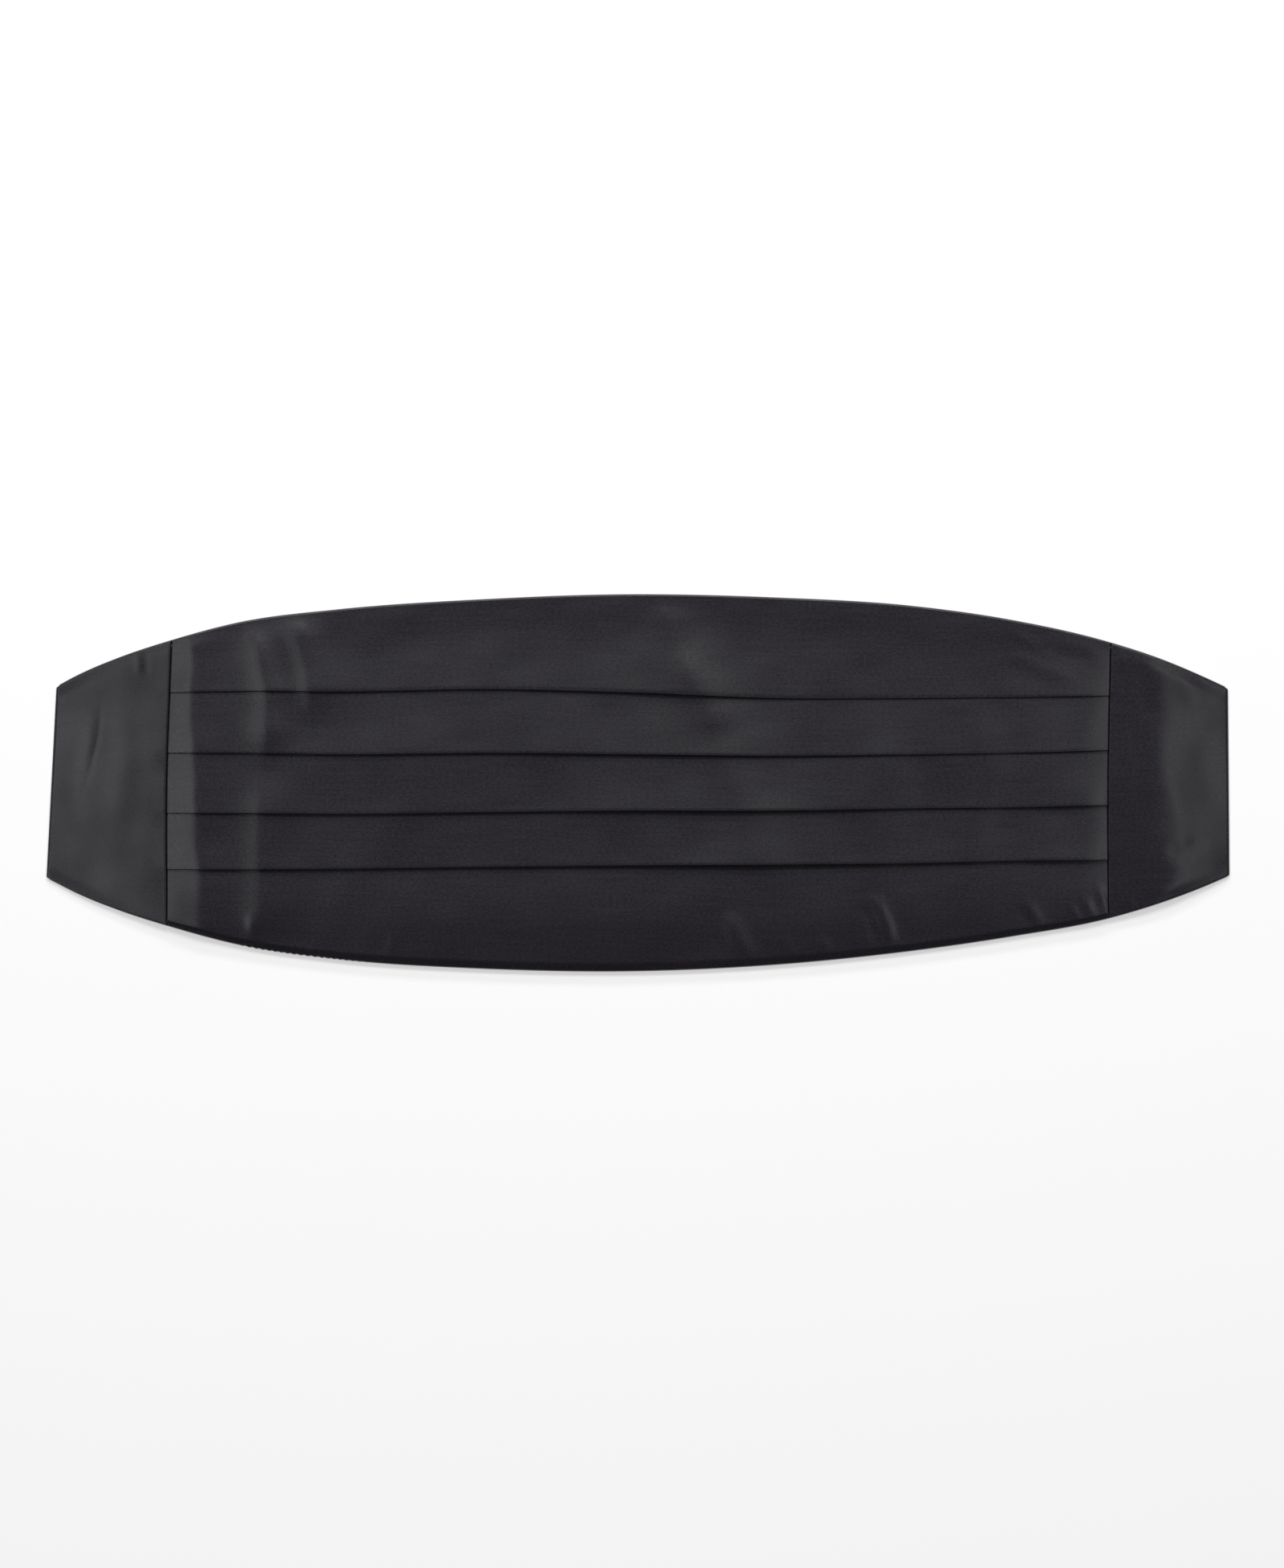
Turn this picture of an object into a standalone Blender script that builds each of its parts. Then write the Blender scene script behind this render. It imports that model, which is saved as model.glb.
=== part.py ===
"""A pleated satin cummerbund, laid front up on a flat surface.

Frame, in metres: X runs along the band, Y from its lower edge to its upper edge, Z up from the surface.
The front is a centre piece, folded into four knife pleats, sewn between two plain end pieces. It is
bagged out over a back piece, so its edges roll down round the back to the surface. An elastic strap,
sewn to the back near both ends, lies flat underneath, and the cloth crowns slightly over it.
"""

from collections import namedtuple

import bmesh
import bpy
import numpy as np

MM = 0.001  # every size below is in millimetres, and every mesh is in metres

# Cloth and seams
CLOTH = 1.0  # wall of satin with its interlining
SEAM_GAP = 0.3  # between pieces that are sewn together or lie on each other
FOLD_GAP = 0.2  # between the layers inside a pleat
EDGE_ROLL = 1.9  # how far in from the edge the front starts to roll down
EDGE_FADE = 6.0  # from the long edges to where the cloth's own relief has its full height
BACK_INSET = 2.0  # the back stops this far inside the front's edge, clear of its roll

# Pleats
PLEAT_DEPTH = 12.5  # how far a pleat's hidden fold lies above its fold edge
RAMP_START = 5.0  # from the hidden fold up to where the band starts to climb over it
RAMP_END = 0.6  # and to where it has climbed
PLEAT_CLEAR = 5.8  # least distance from the first pleat's hidden fold to the top edge
CLIMB_CLEAR = 0.5  # least flat cloth before a band starts to climb

# Seam allowance of the pleated piece, turned in and pressed under the pleats
ALLOWANCE_WIDE = 9.0
ALLOWANCE_RISE = 0.6
ALLOWANCE_SLOPE = 3.0

# End pieces
STEP_FADE = 6.0  # how far the pleats' steps print through into an end piece
LEFT_FALL = 24.0  # from the left seam to where the end piece lies flat
RIGHT_FALL = 17.5
SEAM_SHARE = 0.5  # share of the rise at the seam that is a hollow, and not turned cloth
MEAN_SHARE = 0.5  # mean rise at the seam, as a share of the pleats' own
STEP_FOOT = 0.4  # from a fold edge down to the foot of its step
STEP_SHOULDER = 0.6  # height of the step at the fold edge, as a share of the whole
NEAR_SEAM = (0.0, 1.5, 3.5, STEP_FADE, 10.0)  # columns of points from the seam
END_FLAT = 30.0  # and the last one before the end edge
PLAIN_ROWS = 3  # rows of points below the lowest pleat

# Strap and the crown that it gives the cloth
STRAP_WIDE = 25.0
STRAP_THICK = 1.2
STRAP_END_INSET = 16.0
CROWN_RUN_FRONT = 16.0  # from the long edges to full height, for the front
CROWN_RUN_BACK = 18.0  # and for the back, which stays just under it
CROWN_RUN_ALONG = 14.0  # from the end edges to full height
CROWN_MARGINS = (5.5, 9.0, 12.5, CROWN_RUN_FRONT)  # rows that follow that rise
END_BACK = 27.0  # a last column of the back's points between its end and the seam

# The outline: the upper and the lower edge, from end to end
Edge = namedtuple("Edge", "x top bottom")
EDGES = (
    Edge(-199.1, 30.6, -32.0),
    Edge(-187.8, 36.7, -37.7),
    Edge(-174.2, 42.4, -43.1),
    Edge(-157.2, 48.0, -48.5),
    Edge(-133.7, 54.2, -54.7),
    Edge(-101.3, 58.4, -59.4),
    Edge(-52.7, 61.8, -62.6),
    Edge(-4.1, 63.5, -63.5),
    Edge(44.6, 62.5, -61.4),
    Edge(93.2, 59.5, -56.5),
    Edge(125.6, 54.9, -51.8),
    Edge(158.3, 47.5, -45.7),
    Edge(176.9, 41.4, -40.1),
    Edge(190.5, 35.7, -35.0),
    Edge(199.1, 31.7, -31.3),
)

# Upright lines: the two seams and the two end edges, from bottom to top
Upright = namedtuple("Upright", "y left right")
SEAMS = (
    Upright(-49.0, -158.2, 158.1),
    Upright(0.0, -158.3, 157.9),
    Upright(48.0, -156.8, 159.0),
)
ENDS = (Upright(-32.0, -199.1, 199.1), Upright(31.0, -195.8, 198.6))

# The four fold edges that show, which droop a little between the seams
Folds = namedtuple("Folds", "x first second third fourth")
FOLDS = (
    Folds(-158.0, 30.4, 10.1, -10.1, -29.0),
    Folds(-132.4, 30.9, 10.1, -10.1, -29.0),
    Folds(-100.0, 30.7, 9.6, -10.4, -28.8),
    Folds(-51.3, 31.5, 10.1, -9.8, -28.2),
    Folds(-2.7, 30.4, 9.6, -9.3, -27.7),
    Folds(45.9, 28.5, 9.1, -9.3, -27.4),
    Folds(94.6, 28.5, 9.6, -8.5, -26.9),
    Folds(127.0, 28.8, 10.1, -8.2, -26.1),
    Folds(158.0, 29.3, 11.0, -7.4, -25.8),
)
FOLD_NAMES = Folds._fields[1:]

# Pressed creases across the centre piece, as low ridges
Crease = namedtuple("Crease", "x height half_width")
CREASES = (Crease(-129.0, 0.5, 6.0), Crease(-110.0, 0.3, 6.0), Crease(15.5, 0.4, 7.0))

# Rounding of each corner of the band
Corner = namedtuple("Corner", "side level radius")
CORNERS = (
    Corner("left", "top", 3.0),
    Corner("left", "bottom", 0.8),
    Corner("right", "top", 1.4),
    Corner("right", "bottom", 0.8),
)

# Heights of the layers
FRONT_UNDER = CLOTH + SEAM_GAP  # underside of the front, over the back
FLAT_TOP = FRONT_UNDER + CLOTH  # top of a single layer of the front
LAYER = CLOTH + FOLD_GAP
LOW = FRONT_UNDER + CLOTH / 2  # middle of the wall in each layer of a pleat
MIDDLE = LOW + LAYER
HIGH = MIDDLE + LAYER
CROWN = STRAP_THICK + SEAM_GAP

# How finely the curves are drawn
ROLL_ANGLES = np.radians([0, 22, 45, 67, 90])
FOLD_ANGLES = np.radians([90, 130, 180, 230, 270])
HIDDEN_FOLD_ANGLES = np.radians([90, 30, -30, -90])
RAMP_STEPS = np.linspace(0.0, 1.0, 5)
STATION_SPACING = 15.0


def smoothstep(t):
    t = np.clip(t, 0.0, 1.0)
    return t * t * (3.0 - 2.0 * t)


def column(rows, name):
    return np.array([getattr(row, name) for row in rows])


def along(rows, name, x, key="x"):
    """The named column of a table at x, on a smooth curve through its rows."""
    keys, values = column(rows, key), column(rows, name)
    slopes = np.gradient(values, keys)
    i = np.clip(np.searchsorted(keys, x) - 1, 0, len(keys) - 2)
    span = keys[i + 1] - keys[i]
    t = (x - keys[i]) / span
    start = (2 * t**3 - 3 * t**2 + 1) * values[i]
    start_slope = (t**3 - 2 * t**2 + t) * span * slopes[i]
    end = (3 * t**2 - 2 * t**3) * values[i + 1]
    end_slope = (t**3 - t**2) * span * slopes[i + 1]
    return start + start_slope + end + end_slope


def seam(side, y):
    return along(SEAMS, side, y, key="y")


def end_edge(side, y):
    """The end edges are straight."""
    return np.interp(y, column(ENDS, "y"), column(ENDS, side))


def edge_distance(x, y):
    """How far a point lies inside the nearer long edge."""
    above = along(EDGES, "top", x) - y
    below = y - along(EDGES, "bottom", x)
    return np.minimum(above, below)


def crown(x, y, run=CROWN_RUN_FRONT):
    """Rise of the cloth over the strap, none at the edges of the band."""
    from_ends = np.minimum(x - end_edge("left", y), end_edge("right", y) - x)
    across = smoothstep(edge_distance(x, y) / run)
    return CROWN * across * smoothstep(from_ends / CROWN_RUN_ALONG)


def pleat_depth(x, name):
    """Depth of one pleat, less where the first one comes near the top edge."""
    room = along(EDGES, "top", x) - along(FOLDS, name, x) - PLEAT_CLEAR
    return np.minimum(PLEAT_DEPTH, room)


def surface_lift(x, y):
    """Rise of the pleated piece over its turned allowances and at its pressed creases."""
    lift = np.zeros_like(x)
    for from_seam in (x - seam("left", y), seam("right", y) - x):
        up = smoothstep(from_seam / ALLOWANCE_SLOPE)
        down = smoothstep((from_seam - ALLOWANCE_WIDE) / ALLOWANCE_SLOPE)
        lift += ALLOWANCE_RISE * (up - down)
    for crease in CREASES:
        lift += crease.height * smoothstep(1.0 - np.abs(x - crease.x) / crease.half_width)
    return lift * smoothstep(edge_distance(x, y) / EDGE_FADE)


# Pleated centre piece


def centre_x(share, y):
    """X of a point of the centre piece at height y, share of the way between its seams."""
    left = seam("left", y) + SEAM_GAP / 2
    right = seam("right", y) - SEAM_GAP / 2
    return left + share * (right - left)


def crossing(rows, name, share):
    """Y where a line of a table crosses the centre piece at share of its length."""
    y = 0.0
    for _ in range(3):
        y = along(rows, name, centre_x(share, y))
    return y


class Section:
    """The wall of the pleated piece across the band, as matching points of its face and its lining side."""

    def __init__(self):
        self.outer, self.inner = [], []

    def add(self, y, z, normal_y, normal_z):
        half = CLOTH / 2
        self.outer.append((y + normal_y * half, z + normal_z * half))
        self.inner.append((y - normal_y * half, z - normal_z * half))

    def roll(self, edge, inwards, angles):
        """The rolled edge, inwards being -1 at the top edge and 1 at the bottom edge."""
        for angle in angles:
            reach, rise = 1.0 - np.cos(angle), np.sin(angle)
            outer_y = edge + inwards * EDGE_ROLL * reach
            inner_y = edge + inwards * (CLOTH + (EDGE_ROLL - CLOTH) * reach)
            self.outer.append((outer_y, FLAT_TOP * rise))
            self.inner.append((inner_y, FRONT_UNDER * rise))

    def climb(self, start, end):
        """The band's slope from the low layer up over its own pleat."""
        for share in RAMP_STEPS:
            slope = (HIGH - LOW) * 6 * share * (1 - share) / (end - start)
            length = np.hypot(1.0, slope)
            height = LOW + (HIGH - LOW) * smoothstep(share)
            self.add(start + share * (end - start), height, -slope / length, 1 / length)

    def turn(self, y, z, angles, facing):
        """A fold round a centre: facing is 1 where the cloth's face is outside, -1 where it is inside."""
        for angle in angles:
            away_y, away_z = np.cos(angle), np.sin(angle)
            around_y, around_z = y + LAYER / 2 * away_y, z + LAYER / 2 * away_z
            self.add(around_y, around_z, facing * away_y, facing * away_z)


def pleated_section(share):
    """The S-folded wall from the top edge, over each of the four pleats, to the bottom edge."""
    top, bottom = (crossing(EDGES, name, share) for name in ("top", "bottom"))
    section = Section()
    section.roll(top, -1, ROLL_ANGLES)
    last = top - EDGE_ROLL
    for name in FOLD_NAMES:
        fold = crossing(FOLDS, name, share)
        hidden = fold + pleat_depth(centre_x(share, fold), name)
        climb_start = min(hidden + RAMP_START, last - CLIMB_CLEAR)
        for part in (1 / 3, 2 / 3) if name == FOLD_NAMES[0] else (1 / 2,):
            section.add(last + part * (climb_start - last), LOW, 0, 1)
        section.climb(climb_start, hidden + RAMP_END)
        turn_y = fold + CLOTH / 2 + LAYER / 2
        halfway = (hidden + turn_y) / 2
        section.add(halfway, HIGH, 0, 1)
        section.turn(turn_y, (MIDDLE + HIGH) / 2, FOLD_ANGLES, 1)
        section.add(halfway, MIDDLE, 0, -1)
        section.turn(hidden, (LOW + MIDDLE) / 2, HIDDEN_FOLD_ANGLES, -1)
        last = hidden
    section.add((last + bottom + CROWN_RUN_FRONT) / 2, LOW, 0, 1)
    for margin in reversed(CROWN_MARGINS):
        section.add(bottom + margin, LOW, 0, 1)
    section.roll(bottom, 1, ROLL_ANGLES[::-1])
    return np.array(section.outer), np.array(section.inner)


def centre_shares():
    """Stations along the centre piece, closer at the seams and on each side of a crease."""
    left, right = seam("left", 0.0), seam("right", 0.0)
    near = (0.0, 1.5, ALLOWANCE_SLOPE, ALLOWANCE_WIDE, ALLOWANCE_WIDE + ALLOWANCE_SLOPE)
    stations = [left + step for step in near] + [right - step for step in near]
    for crease in CREASES:
        stations += [crease.x - crease.half_width, crease.x, crease.x + crease.half_width]
    for x in np.arange(left + STATION_SPACING, right, STATION_SPACING):
        if min(abs(x - station) for station in stations) > STATION_SPACING / 3:
            stations.append(x)
    return (np.sort(stations) - left) / (right - left)


def centre_front():
    outer, inner = [], []
    for share in centre_shares():
        sides = pleated_section(share)
        for grid, points in zip((outer, inner), sides):
            y, z = points[:, 0], points[:, 1]
            x = centre_x(share, y)
            grid.append(np.stack([x, y, z + crown(x, y) + surface_lift(x, y)], axis=1))
    return np.array(outer), np.array(inner)


# End pieces


def seam_rows(side):
    """Rows across the band at a seam, as (share of its height, rise of the pleats over a single layer)."""
    x = seam(side, 0.0)
    top, bottom = along(EDGES, "top", x), along(EDGES, "bottom", x)
    rise = HIGH - LOW
    rows = []
    for name in reversed(FOLD_NAMES):
        fold = along(FOLDS, name, x)
        hidden = fold + pleat_depth(x, name)
        start = min(hidden + RAMP_START, top - EDGE_ROLL - CLIMB_CLEAR)
        end = hidden + RAMP_END
        rows += [(fold - STEP_FOOT, 0.0), (fold, rise * STEP_SHOULDER), (fold + CLOTH, rise)]
        rows += [(end, rise), ((start + end) / 2, rise / 2), (start, 0.0)]
    plain = np.linspace(bottom, rows[0][0], PLAIN_ROWS + 2)[1:-1]
    rows = [(y, 0.0) for y in plain] + rows
    return [((y - bottom) / (top - bottom), height) for y, height in rows]


def rounded(points, side):
    """The grid with the band's two corners on this side rounded, square to circle."""
    for corner in CORNERS:
        if corner.side != side:
            continue
        edge_y = ENDS[corner.level == "top"].y
        corner_x = end_edge(side, edge_y)
        corner_y = along(EDGES, corner.level, corner_x)
        out_x, out_y = np.sign(corner_x), np.sign(corner_y)
        centre = np.array([corner_x - out_x * corner.radius, corner_y - out_y * corner.radius])
        u = (points[..., 0] - centre[0]) * out_x / corner.radius
        v = (points[..., 1] - centre[1]) * out_y / corner.radius
        inside = (u > 0) & (v > 0)
        u, v = np.clip(u, 0, 1), np.clip(v, 0, 1)
        pulled_x = centre[0] + out_x * corner.radius * u * np.sqrt(1 - v * v / 2)
        pulled_y = centre[1] + out_y * corner.radius * v * np.sqrt(1 - u * u / 2)
        points[..., 0] = np.where(inside, pulled_x, points[..., 0])
        points[..., 1] = np.where(inside, pulled_y, points[..., 1])
    return points


def end_surface(side, inset, wall_top, rise_share):
    """One side of an end piece's wall: a grid from its seam to its rolled end edge, inset by part of the wall."""
    out = -1 if side == "left" else 1
    fall = LEFT_FALL if side == "left" else RIGHT_FALL
    seam_top, seam_bottom = (along(EDGES, name, seam(side, 0.0)) for name in ("top", "bottom"))
    rolls = [(inset + (EDGE_ROLL - inset) * (1 - np.cos(a)), np.sin(a)) for a in ROLL_ANGLES]

    # A row is its share of the height, its margin from a long edge or None, its level and its rise.
    rows = [(0.0, margin, level, 0.0) for margin, level in rolls]
    rows += [(share, None, 1.0, rise) for share, rise in seam_rows(side)]
    rows += [(1.0, margin, level, 0.0) for margin, level in reversed(rolls)]
    # A column is its distance from the seam or None, its margin from the end edge and its level.
    columns = [(distance, None, 1.0) for distance in (*NEAR_SEAM, fall * 0.6, fall * 0.8, fall)]
    columns += [(END_FLAT, None, 1.0)]
    columns += [(None, margin, level) for margin, level in reversed(rolls)]

    grid = []
    for distance, end_margin, end_level in columns:
        points = []
        for share, edge_margin, edge_level, pleat_rise in rows:
            level_y = seam_bottom + share * (seam_top - seam_bottom)
            if end_margin is None:
                x = seam(side, level_y) + out * (SEAM_GAP / 2 + distance)
            else:
                end_y = ENDS[0].y + share * (ENDS[1].y - ENDS[0].y)
                x = end_edge(side, end_y) - out * end_margin
            bottom, top = along(EDGES, "bottom", x), along(EDGES, "top", x)
            y = bottom + share * (top - bottom)
            if edge_margin is not None:
                y += edge_margin if share == 0.0 else -edge_margin
            from_seam = abs(x - seam(side, level_y))
            hump = MEAN_SHARE * (HIGH - LOW) * smoothstep(edge_distance(x, y) / EDGE_FADE)
            steps = (pleat_rise - hump) * (1 - smoothstep(from_seam / STEP_FADE))
            rise = hump * (1 - smoothstep(from_seam / fall)) + steps
            height = (wall_top + rise_share * rise) * min(edge_level, end_level)
            points.append((x, y, height + crown(x, y)))
        grid.append(points)
    return rounded(np.array(grid), side)


def end_panel(side):
    face = end_surface(side, 0.0, FLAT_TOP, 1.0)
    lining_side = end_surface(side, CLOTH, FRONT_UNDER, SEAM_SHARE)
    return face, lining_side


# Back piece


def back_panel():
    """A plain slab of the band's outline, a little inside the front's rolled edges."""
    half = (ENDS[0].right - ENDS[0].left) / 2
    near = np.array([BACK_INSET, 4.0, 7.0, 10.0, CROWN_RUN_ALONG, END_BACK])
    seams = seam("left", 0.0), seam("right", 0.0)
    middle = seams[0] + centre_shares() * (seams[1] - seams[0])
    stations = np.concatenate([near - half, middle, half - near[::-1]])
    margins = np.array([BACK_INSET, *CROWN_MARGINS, CROWN_RUN_BACK])
    grid = []
    for station in stations:
        share = (station + half - BACK_INSET) / (2 * (half - BACK_INSET))
        points = []
        for row in range(2 * len(margins)):
            lower = row < len(margins)
            margin = margins[row] if lower else margins[2 * len(margins) - 1 - row]
            y = 0.0
            for _ in range(3):
                left = end_edge("left", y) + BACK_INSET
                right = end_edge("right", y) - BACK_INSET
                x = left + share * (right - left)
                y_bottom, y_top = along(EDGES, "bottom", x), along(EDGES, "top", x)
                y = y_bottom + margin if lower else y_top - margin
            points.append((x, y, crown(x, y, CROWN_RUN_BACK)))
        grid.append(points)
    under = rounded(np.array(grid), "left")
    return under + (0.0, 0.0, CLOTH), under


# Meshes and materials


def material(name, colour, roughness, metallic=0.0):
    made = bpy.data.materials.new(name)
    made.use_nodes = True
    shader = made.node_tree.nodes["Principled BSDF"]
    shader.inputs["Base Color"].default_value = (*colour, 1.0)
    shader.inputs["Roughness"].default_value = roughness
    shader.inputs["Metallic"].default_value = metallic
    made.diffuse_color = (*colour, 1.0)
    return made


def wall(name, outer, inner, finish, collection):
    """One closed cloth wall between two grids of points that match, station by station."""
    rings = np.concatenate([outer, inner[:, ::-1]], axis=1) * MM
    stations, around = rings.shape[:2]
    across = outer.shape[1]
    shape = bmesh.new()
    points = [[shape.verts.new(point) for point in ring] for ring in rings]
    for this, following in zip(points, points[1:]):
        for i in range(around):
            j = (i + 1) % around
            shape.faces.new((this[i], this[j], following[j], following[i]))
    for ring in (points[0], points[-1]):
        for i in range(across - 1):
            shape.faces.new((ring[i], ring[i + 1], ring[around - 2 - i], ring[around - 1 - i]))
    bmesh.ops.recalc_face_normals(shape, faces=shape.faces)
    mesh = bpy.data.meshes.new(name)
    shape.to_mesh(mesh)
    shape.free()
    mesh.shade_smooth()
    mesh.set_sharp_from_angle(angle=np.radians(50))
    mesh.materials.append(finish)
    made = bpy.data.objects.new(name, mesh)
    collection.objects.link(made)
    return made


def strap(name, finish, collection):
    """The flat elastic band under the back, its long edges slightly rounded."""
    length = ENDS[0].right - ENDS[0].left - 2 * STRAP_END_INSET
    bpy.ops.mesh.primitive_cube_add(size=1.0, location=(0, 0, STRAP_THICK / 2 * MM))
    made = bpy.context.object
    made.name = made.data.name = name
    made.scale = (length * MM, STRAP_WIDE * MM, STRAP_THICK * MM)
    bpy.ops.object.transform_apply(location=False, rotation=False, scale=True)
    edges = made.modifiers.new("rounded edges", "BEVEL")
    edges.width = 0.25 * MM
    edges.segments = 2
    made.data.materials.append(finish)
    for home in list(made.users_collection):
        home.objects.unlink(made)
    collection.objects.link(made)
    return made


def main():
    for old in list(bpy.data.objects):
        bpy.data.objects.remove(old, do_unlink=True)
    parts = bpy.data.collections.new("cummerbund")
    bpy.context.scene.collection.children.link(parts)

    satin = (0.024, 0.022, 0.026)
    wall("centre_front", *centre_front(), material("pleated satin", satin, 0.45), parts)
    for side in ("left", "right"):
        finish = material(f"{side} end satin", satin, 0.45)
        wall(f"end_panel_{side}", *end_panel(side), finish, parts)
    back_finish = material("back satin", (0.020, 0.019, 0.022), 0.55)
    wall("back_panel", *back_panel(), back_finish, parts)
    strap("back_strap", material("strap elastic", (0.015, 0.015, 0.016), 0.8), parts)


main()
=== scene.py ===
# %% [markdown]
# # Dressing a pleated satin cummerbund
#
# A cummerbund is the wide pleated sash that is worn with a dinner jacket. Here it lies front up on
# a table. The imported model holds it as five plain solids, and this script gives each of them its
# real surface: thin black satin with four soft knife pleats, rolled edges, seams, pressed creases and
# small puckers, and on the back a plain lining with a ribbed elastic strap that is stitched on.
#
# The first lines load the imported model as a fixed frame. Everything shares its axes: X runs along the
# band, Y from its lower to its upper edge, and Z up from the table.

# %% Load the frame
from collections import namedtuple

import bpy
import numpy as np
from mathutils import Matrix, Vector


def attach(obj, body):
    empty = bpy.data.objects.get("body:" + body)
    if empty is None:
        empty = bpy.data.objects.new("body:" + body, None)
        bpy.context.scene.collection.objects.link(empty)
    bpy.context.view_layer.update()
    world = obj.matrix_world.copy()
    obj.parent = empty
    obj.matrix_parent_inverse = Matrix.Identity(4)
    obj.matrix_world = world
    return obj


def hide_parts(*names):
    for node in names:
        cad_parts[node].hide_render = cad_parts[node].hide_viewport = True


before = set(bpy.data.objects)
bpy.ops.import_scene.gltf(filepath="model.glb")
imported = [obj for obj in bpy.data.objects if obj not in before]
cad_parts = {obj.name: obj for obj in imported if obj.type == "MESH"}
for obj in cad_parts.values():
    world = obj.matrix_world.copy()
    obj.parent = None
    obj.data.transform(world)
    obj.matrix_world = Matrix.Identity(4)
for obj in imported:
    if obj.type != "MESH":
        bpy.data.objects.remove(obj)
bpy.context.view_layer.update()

MM = 0.001  # sizes below are in millimetres, and meshes are in metres
print("solids:", ", ".join(sorted(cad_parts)))

# %% [markdown]
# ## The lines of the garment
#
# A maker marks a cummerbund with a few lines: its outline, its two seams, its ends and its folds. They
# could be drawn as curve objects, but here every surface needs their height at many places, so each
# line is a short table and a smooth curve through it. The curve's slope at a row is the mean slope
# around it, which keeps the line from wobbling between rows.

# %% Outline, seams, ends and folds
# Places are in millimetres, measured on the garment as it lies
Edge = namedtuple("Edge", "x top bottom")
EDGES = (
    Edge(-199.1, 30.6, -32.0),
    Edge(-187.8, 36.7, -37.7),
    Edge(-174.2, 42.4, -43.1),
    Edge(-157.2, 48.0, -48.5),
    Edge(-133.7, 54.2, -54.7),
    Edge(-101.3, 58.4, -59.4),
    Edge(-52.7, 61.8, -62.6),
    Edge(-4.1, 63.5, -63.5),
    Edge(44.6, 62.5, -61.4),
    Edge(93.2, 59.5, -56.5),
    Edge(125.6, 54.9, -51.8),
    Edge(158.3, 47.5, -45.7),
    Edge(176.9, 41.4, -40.1),
    Edge(190.5, 35.7, -35.0),
    Edge(199.1, 31.7, -31.3),
)
Upright = namedtuple("Upright", "y left right")  # x of a line on each side of the garment
SEAMS = (
    Upright(-49.0, -158.2, 158.1),
    Upright(0.0, -158.3, 157.9),
    Upright(48.0, -156.8, 159.0),
)
ENDS = (Upright(-32.0, -199.1, 199.1), Upright(31.0, -195.8, 198.6))
Folds = namedtuple("Folds", "x first second third fourth")
FOLDS = (
    Folds(-158.0, 30.2, 9.9, -10.3, -29.2),
    Folds(-132.4, 30.7, 9.9, -10.3, -29.2),
    Folds(-100.0, 30.5, 9.4, -10.6, -29.0),
    Folds(-51.3, 31.3, 9.9, -10.0, -28.4),
    Folds(-2.7, 30.2, 9.4, -9.5, -27.9),
    Folds(45.9, 28.3, 8.9, -9.5, -27.6),
    Folds(94.6, 28.3, 9.4, -8.7, -27.1),
    Folds(127.0, 28.6, 9.9, -8.4, -26.3),
    Folds(158.0, 29.1, 10.8, -7.6, -26.0),
)
FOLD_NAMES = Folds._fields[1:]
SEAM_GAP = 0.1  # between the two cloths at a seam


def along(rows, name, x, key="x"):
    """The named column of a table at x, on a smooth curve through its rows."""
    keys, values = (np.array([getattr(row, field) for row in rows]) for field in (key, name))
    slopes = np.gradient(values, keys)
    i = np.clip(np.searchsorted(keys, x) - 1, 0, len(keys) - 2)
    span = keys[i + 1] - keys[i]
    t = (x - keys[i]) / span
    start = (2 * t**3 - 3 * t**2 + 1) * values[i] + (t**3 - 2 * t**2 + t) * span * slopes[i]
    return start + (3 * t**2 - 2 * t**3) * values[i + 1] + (t**3 - t**2) * span * slopes[i + 1]


def seam(side, y):
    return along(SEAMS, side, y, key="y")


def upright_x(rows, y):
    """X at y of a line that crosses the band, and stands upright above and below its table."""
    return along(rows, "x", np.clip(y, rows[0].y, rows[-1].y), key="y")


def end_edge(side, y):
    return np.interp(y, [row.y for row in ENDS], [getattr(row, side) for row in ENDS])


def edge_distance(x, y):
    """How far a point lies inside the nearer long edge."""
    return np.minimum(along(EDGES, "top", x) - y, y - along(EDGES, "bottom", x))


def smoothstep(t):
    t = np.clip(t, 0.0, 1.0)
    return t * t * (3.0 - 2.0 * t)


def between(value, low, high):
    """A soft step from 0 at low to 1 at high."""
    return smoothstep((value - low) / (high - low))


def faded(at_edge, inside):
    """A factor that is at_edge on the border, where inside is 0, and 1 within."""
    return at_edge + (1 - at_edge) * inside


print("band:", EDGES[-1].x - EDGES[0].x, "mm long,", len(FOLD_NAMES), "pleats")

# %% [markdown]
# ## Creases and puckers
#
# Satin that has been folded in a drawer keeps soft creases, and a turned edge puckers where its
# stitches pull. Sculpting could make them, or a cloth simulation, but neither puts a crease where it
# really is. So each one is a line with a width and a height: a low ridge where the height is positive
# and a trough where it isn't. All layers of a pleat were pressed together, so they share a crease.

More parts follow.
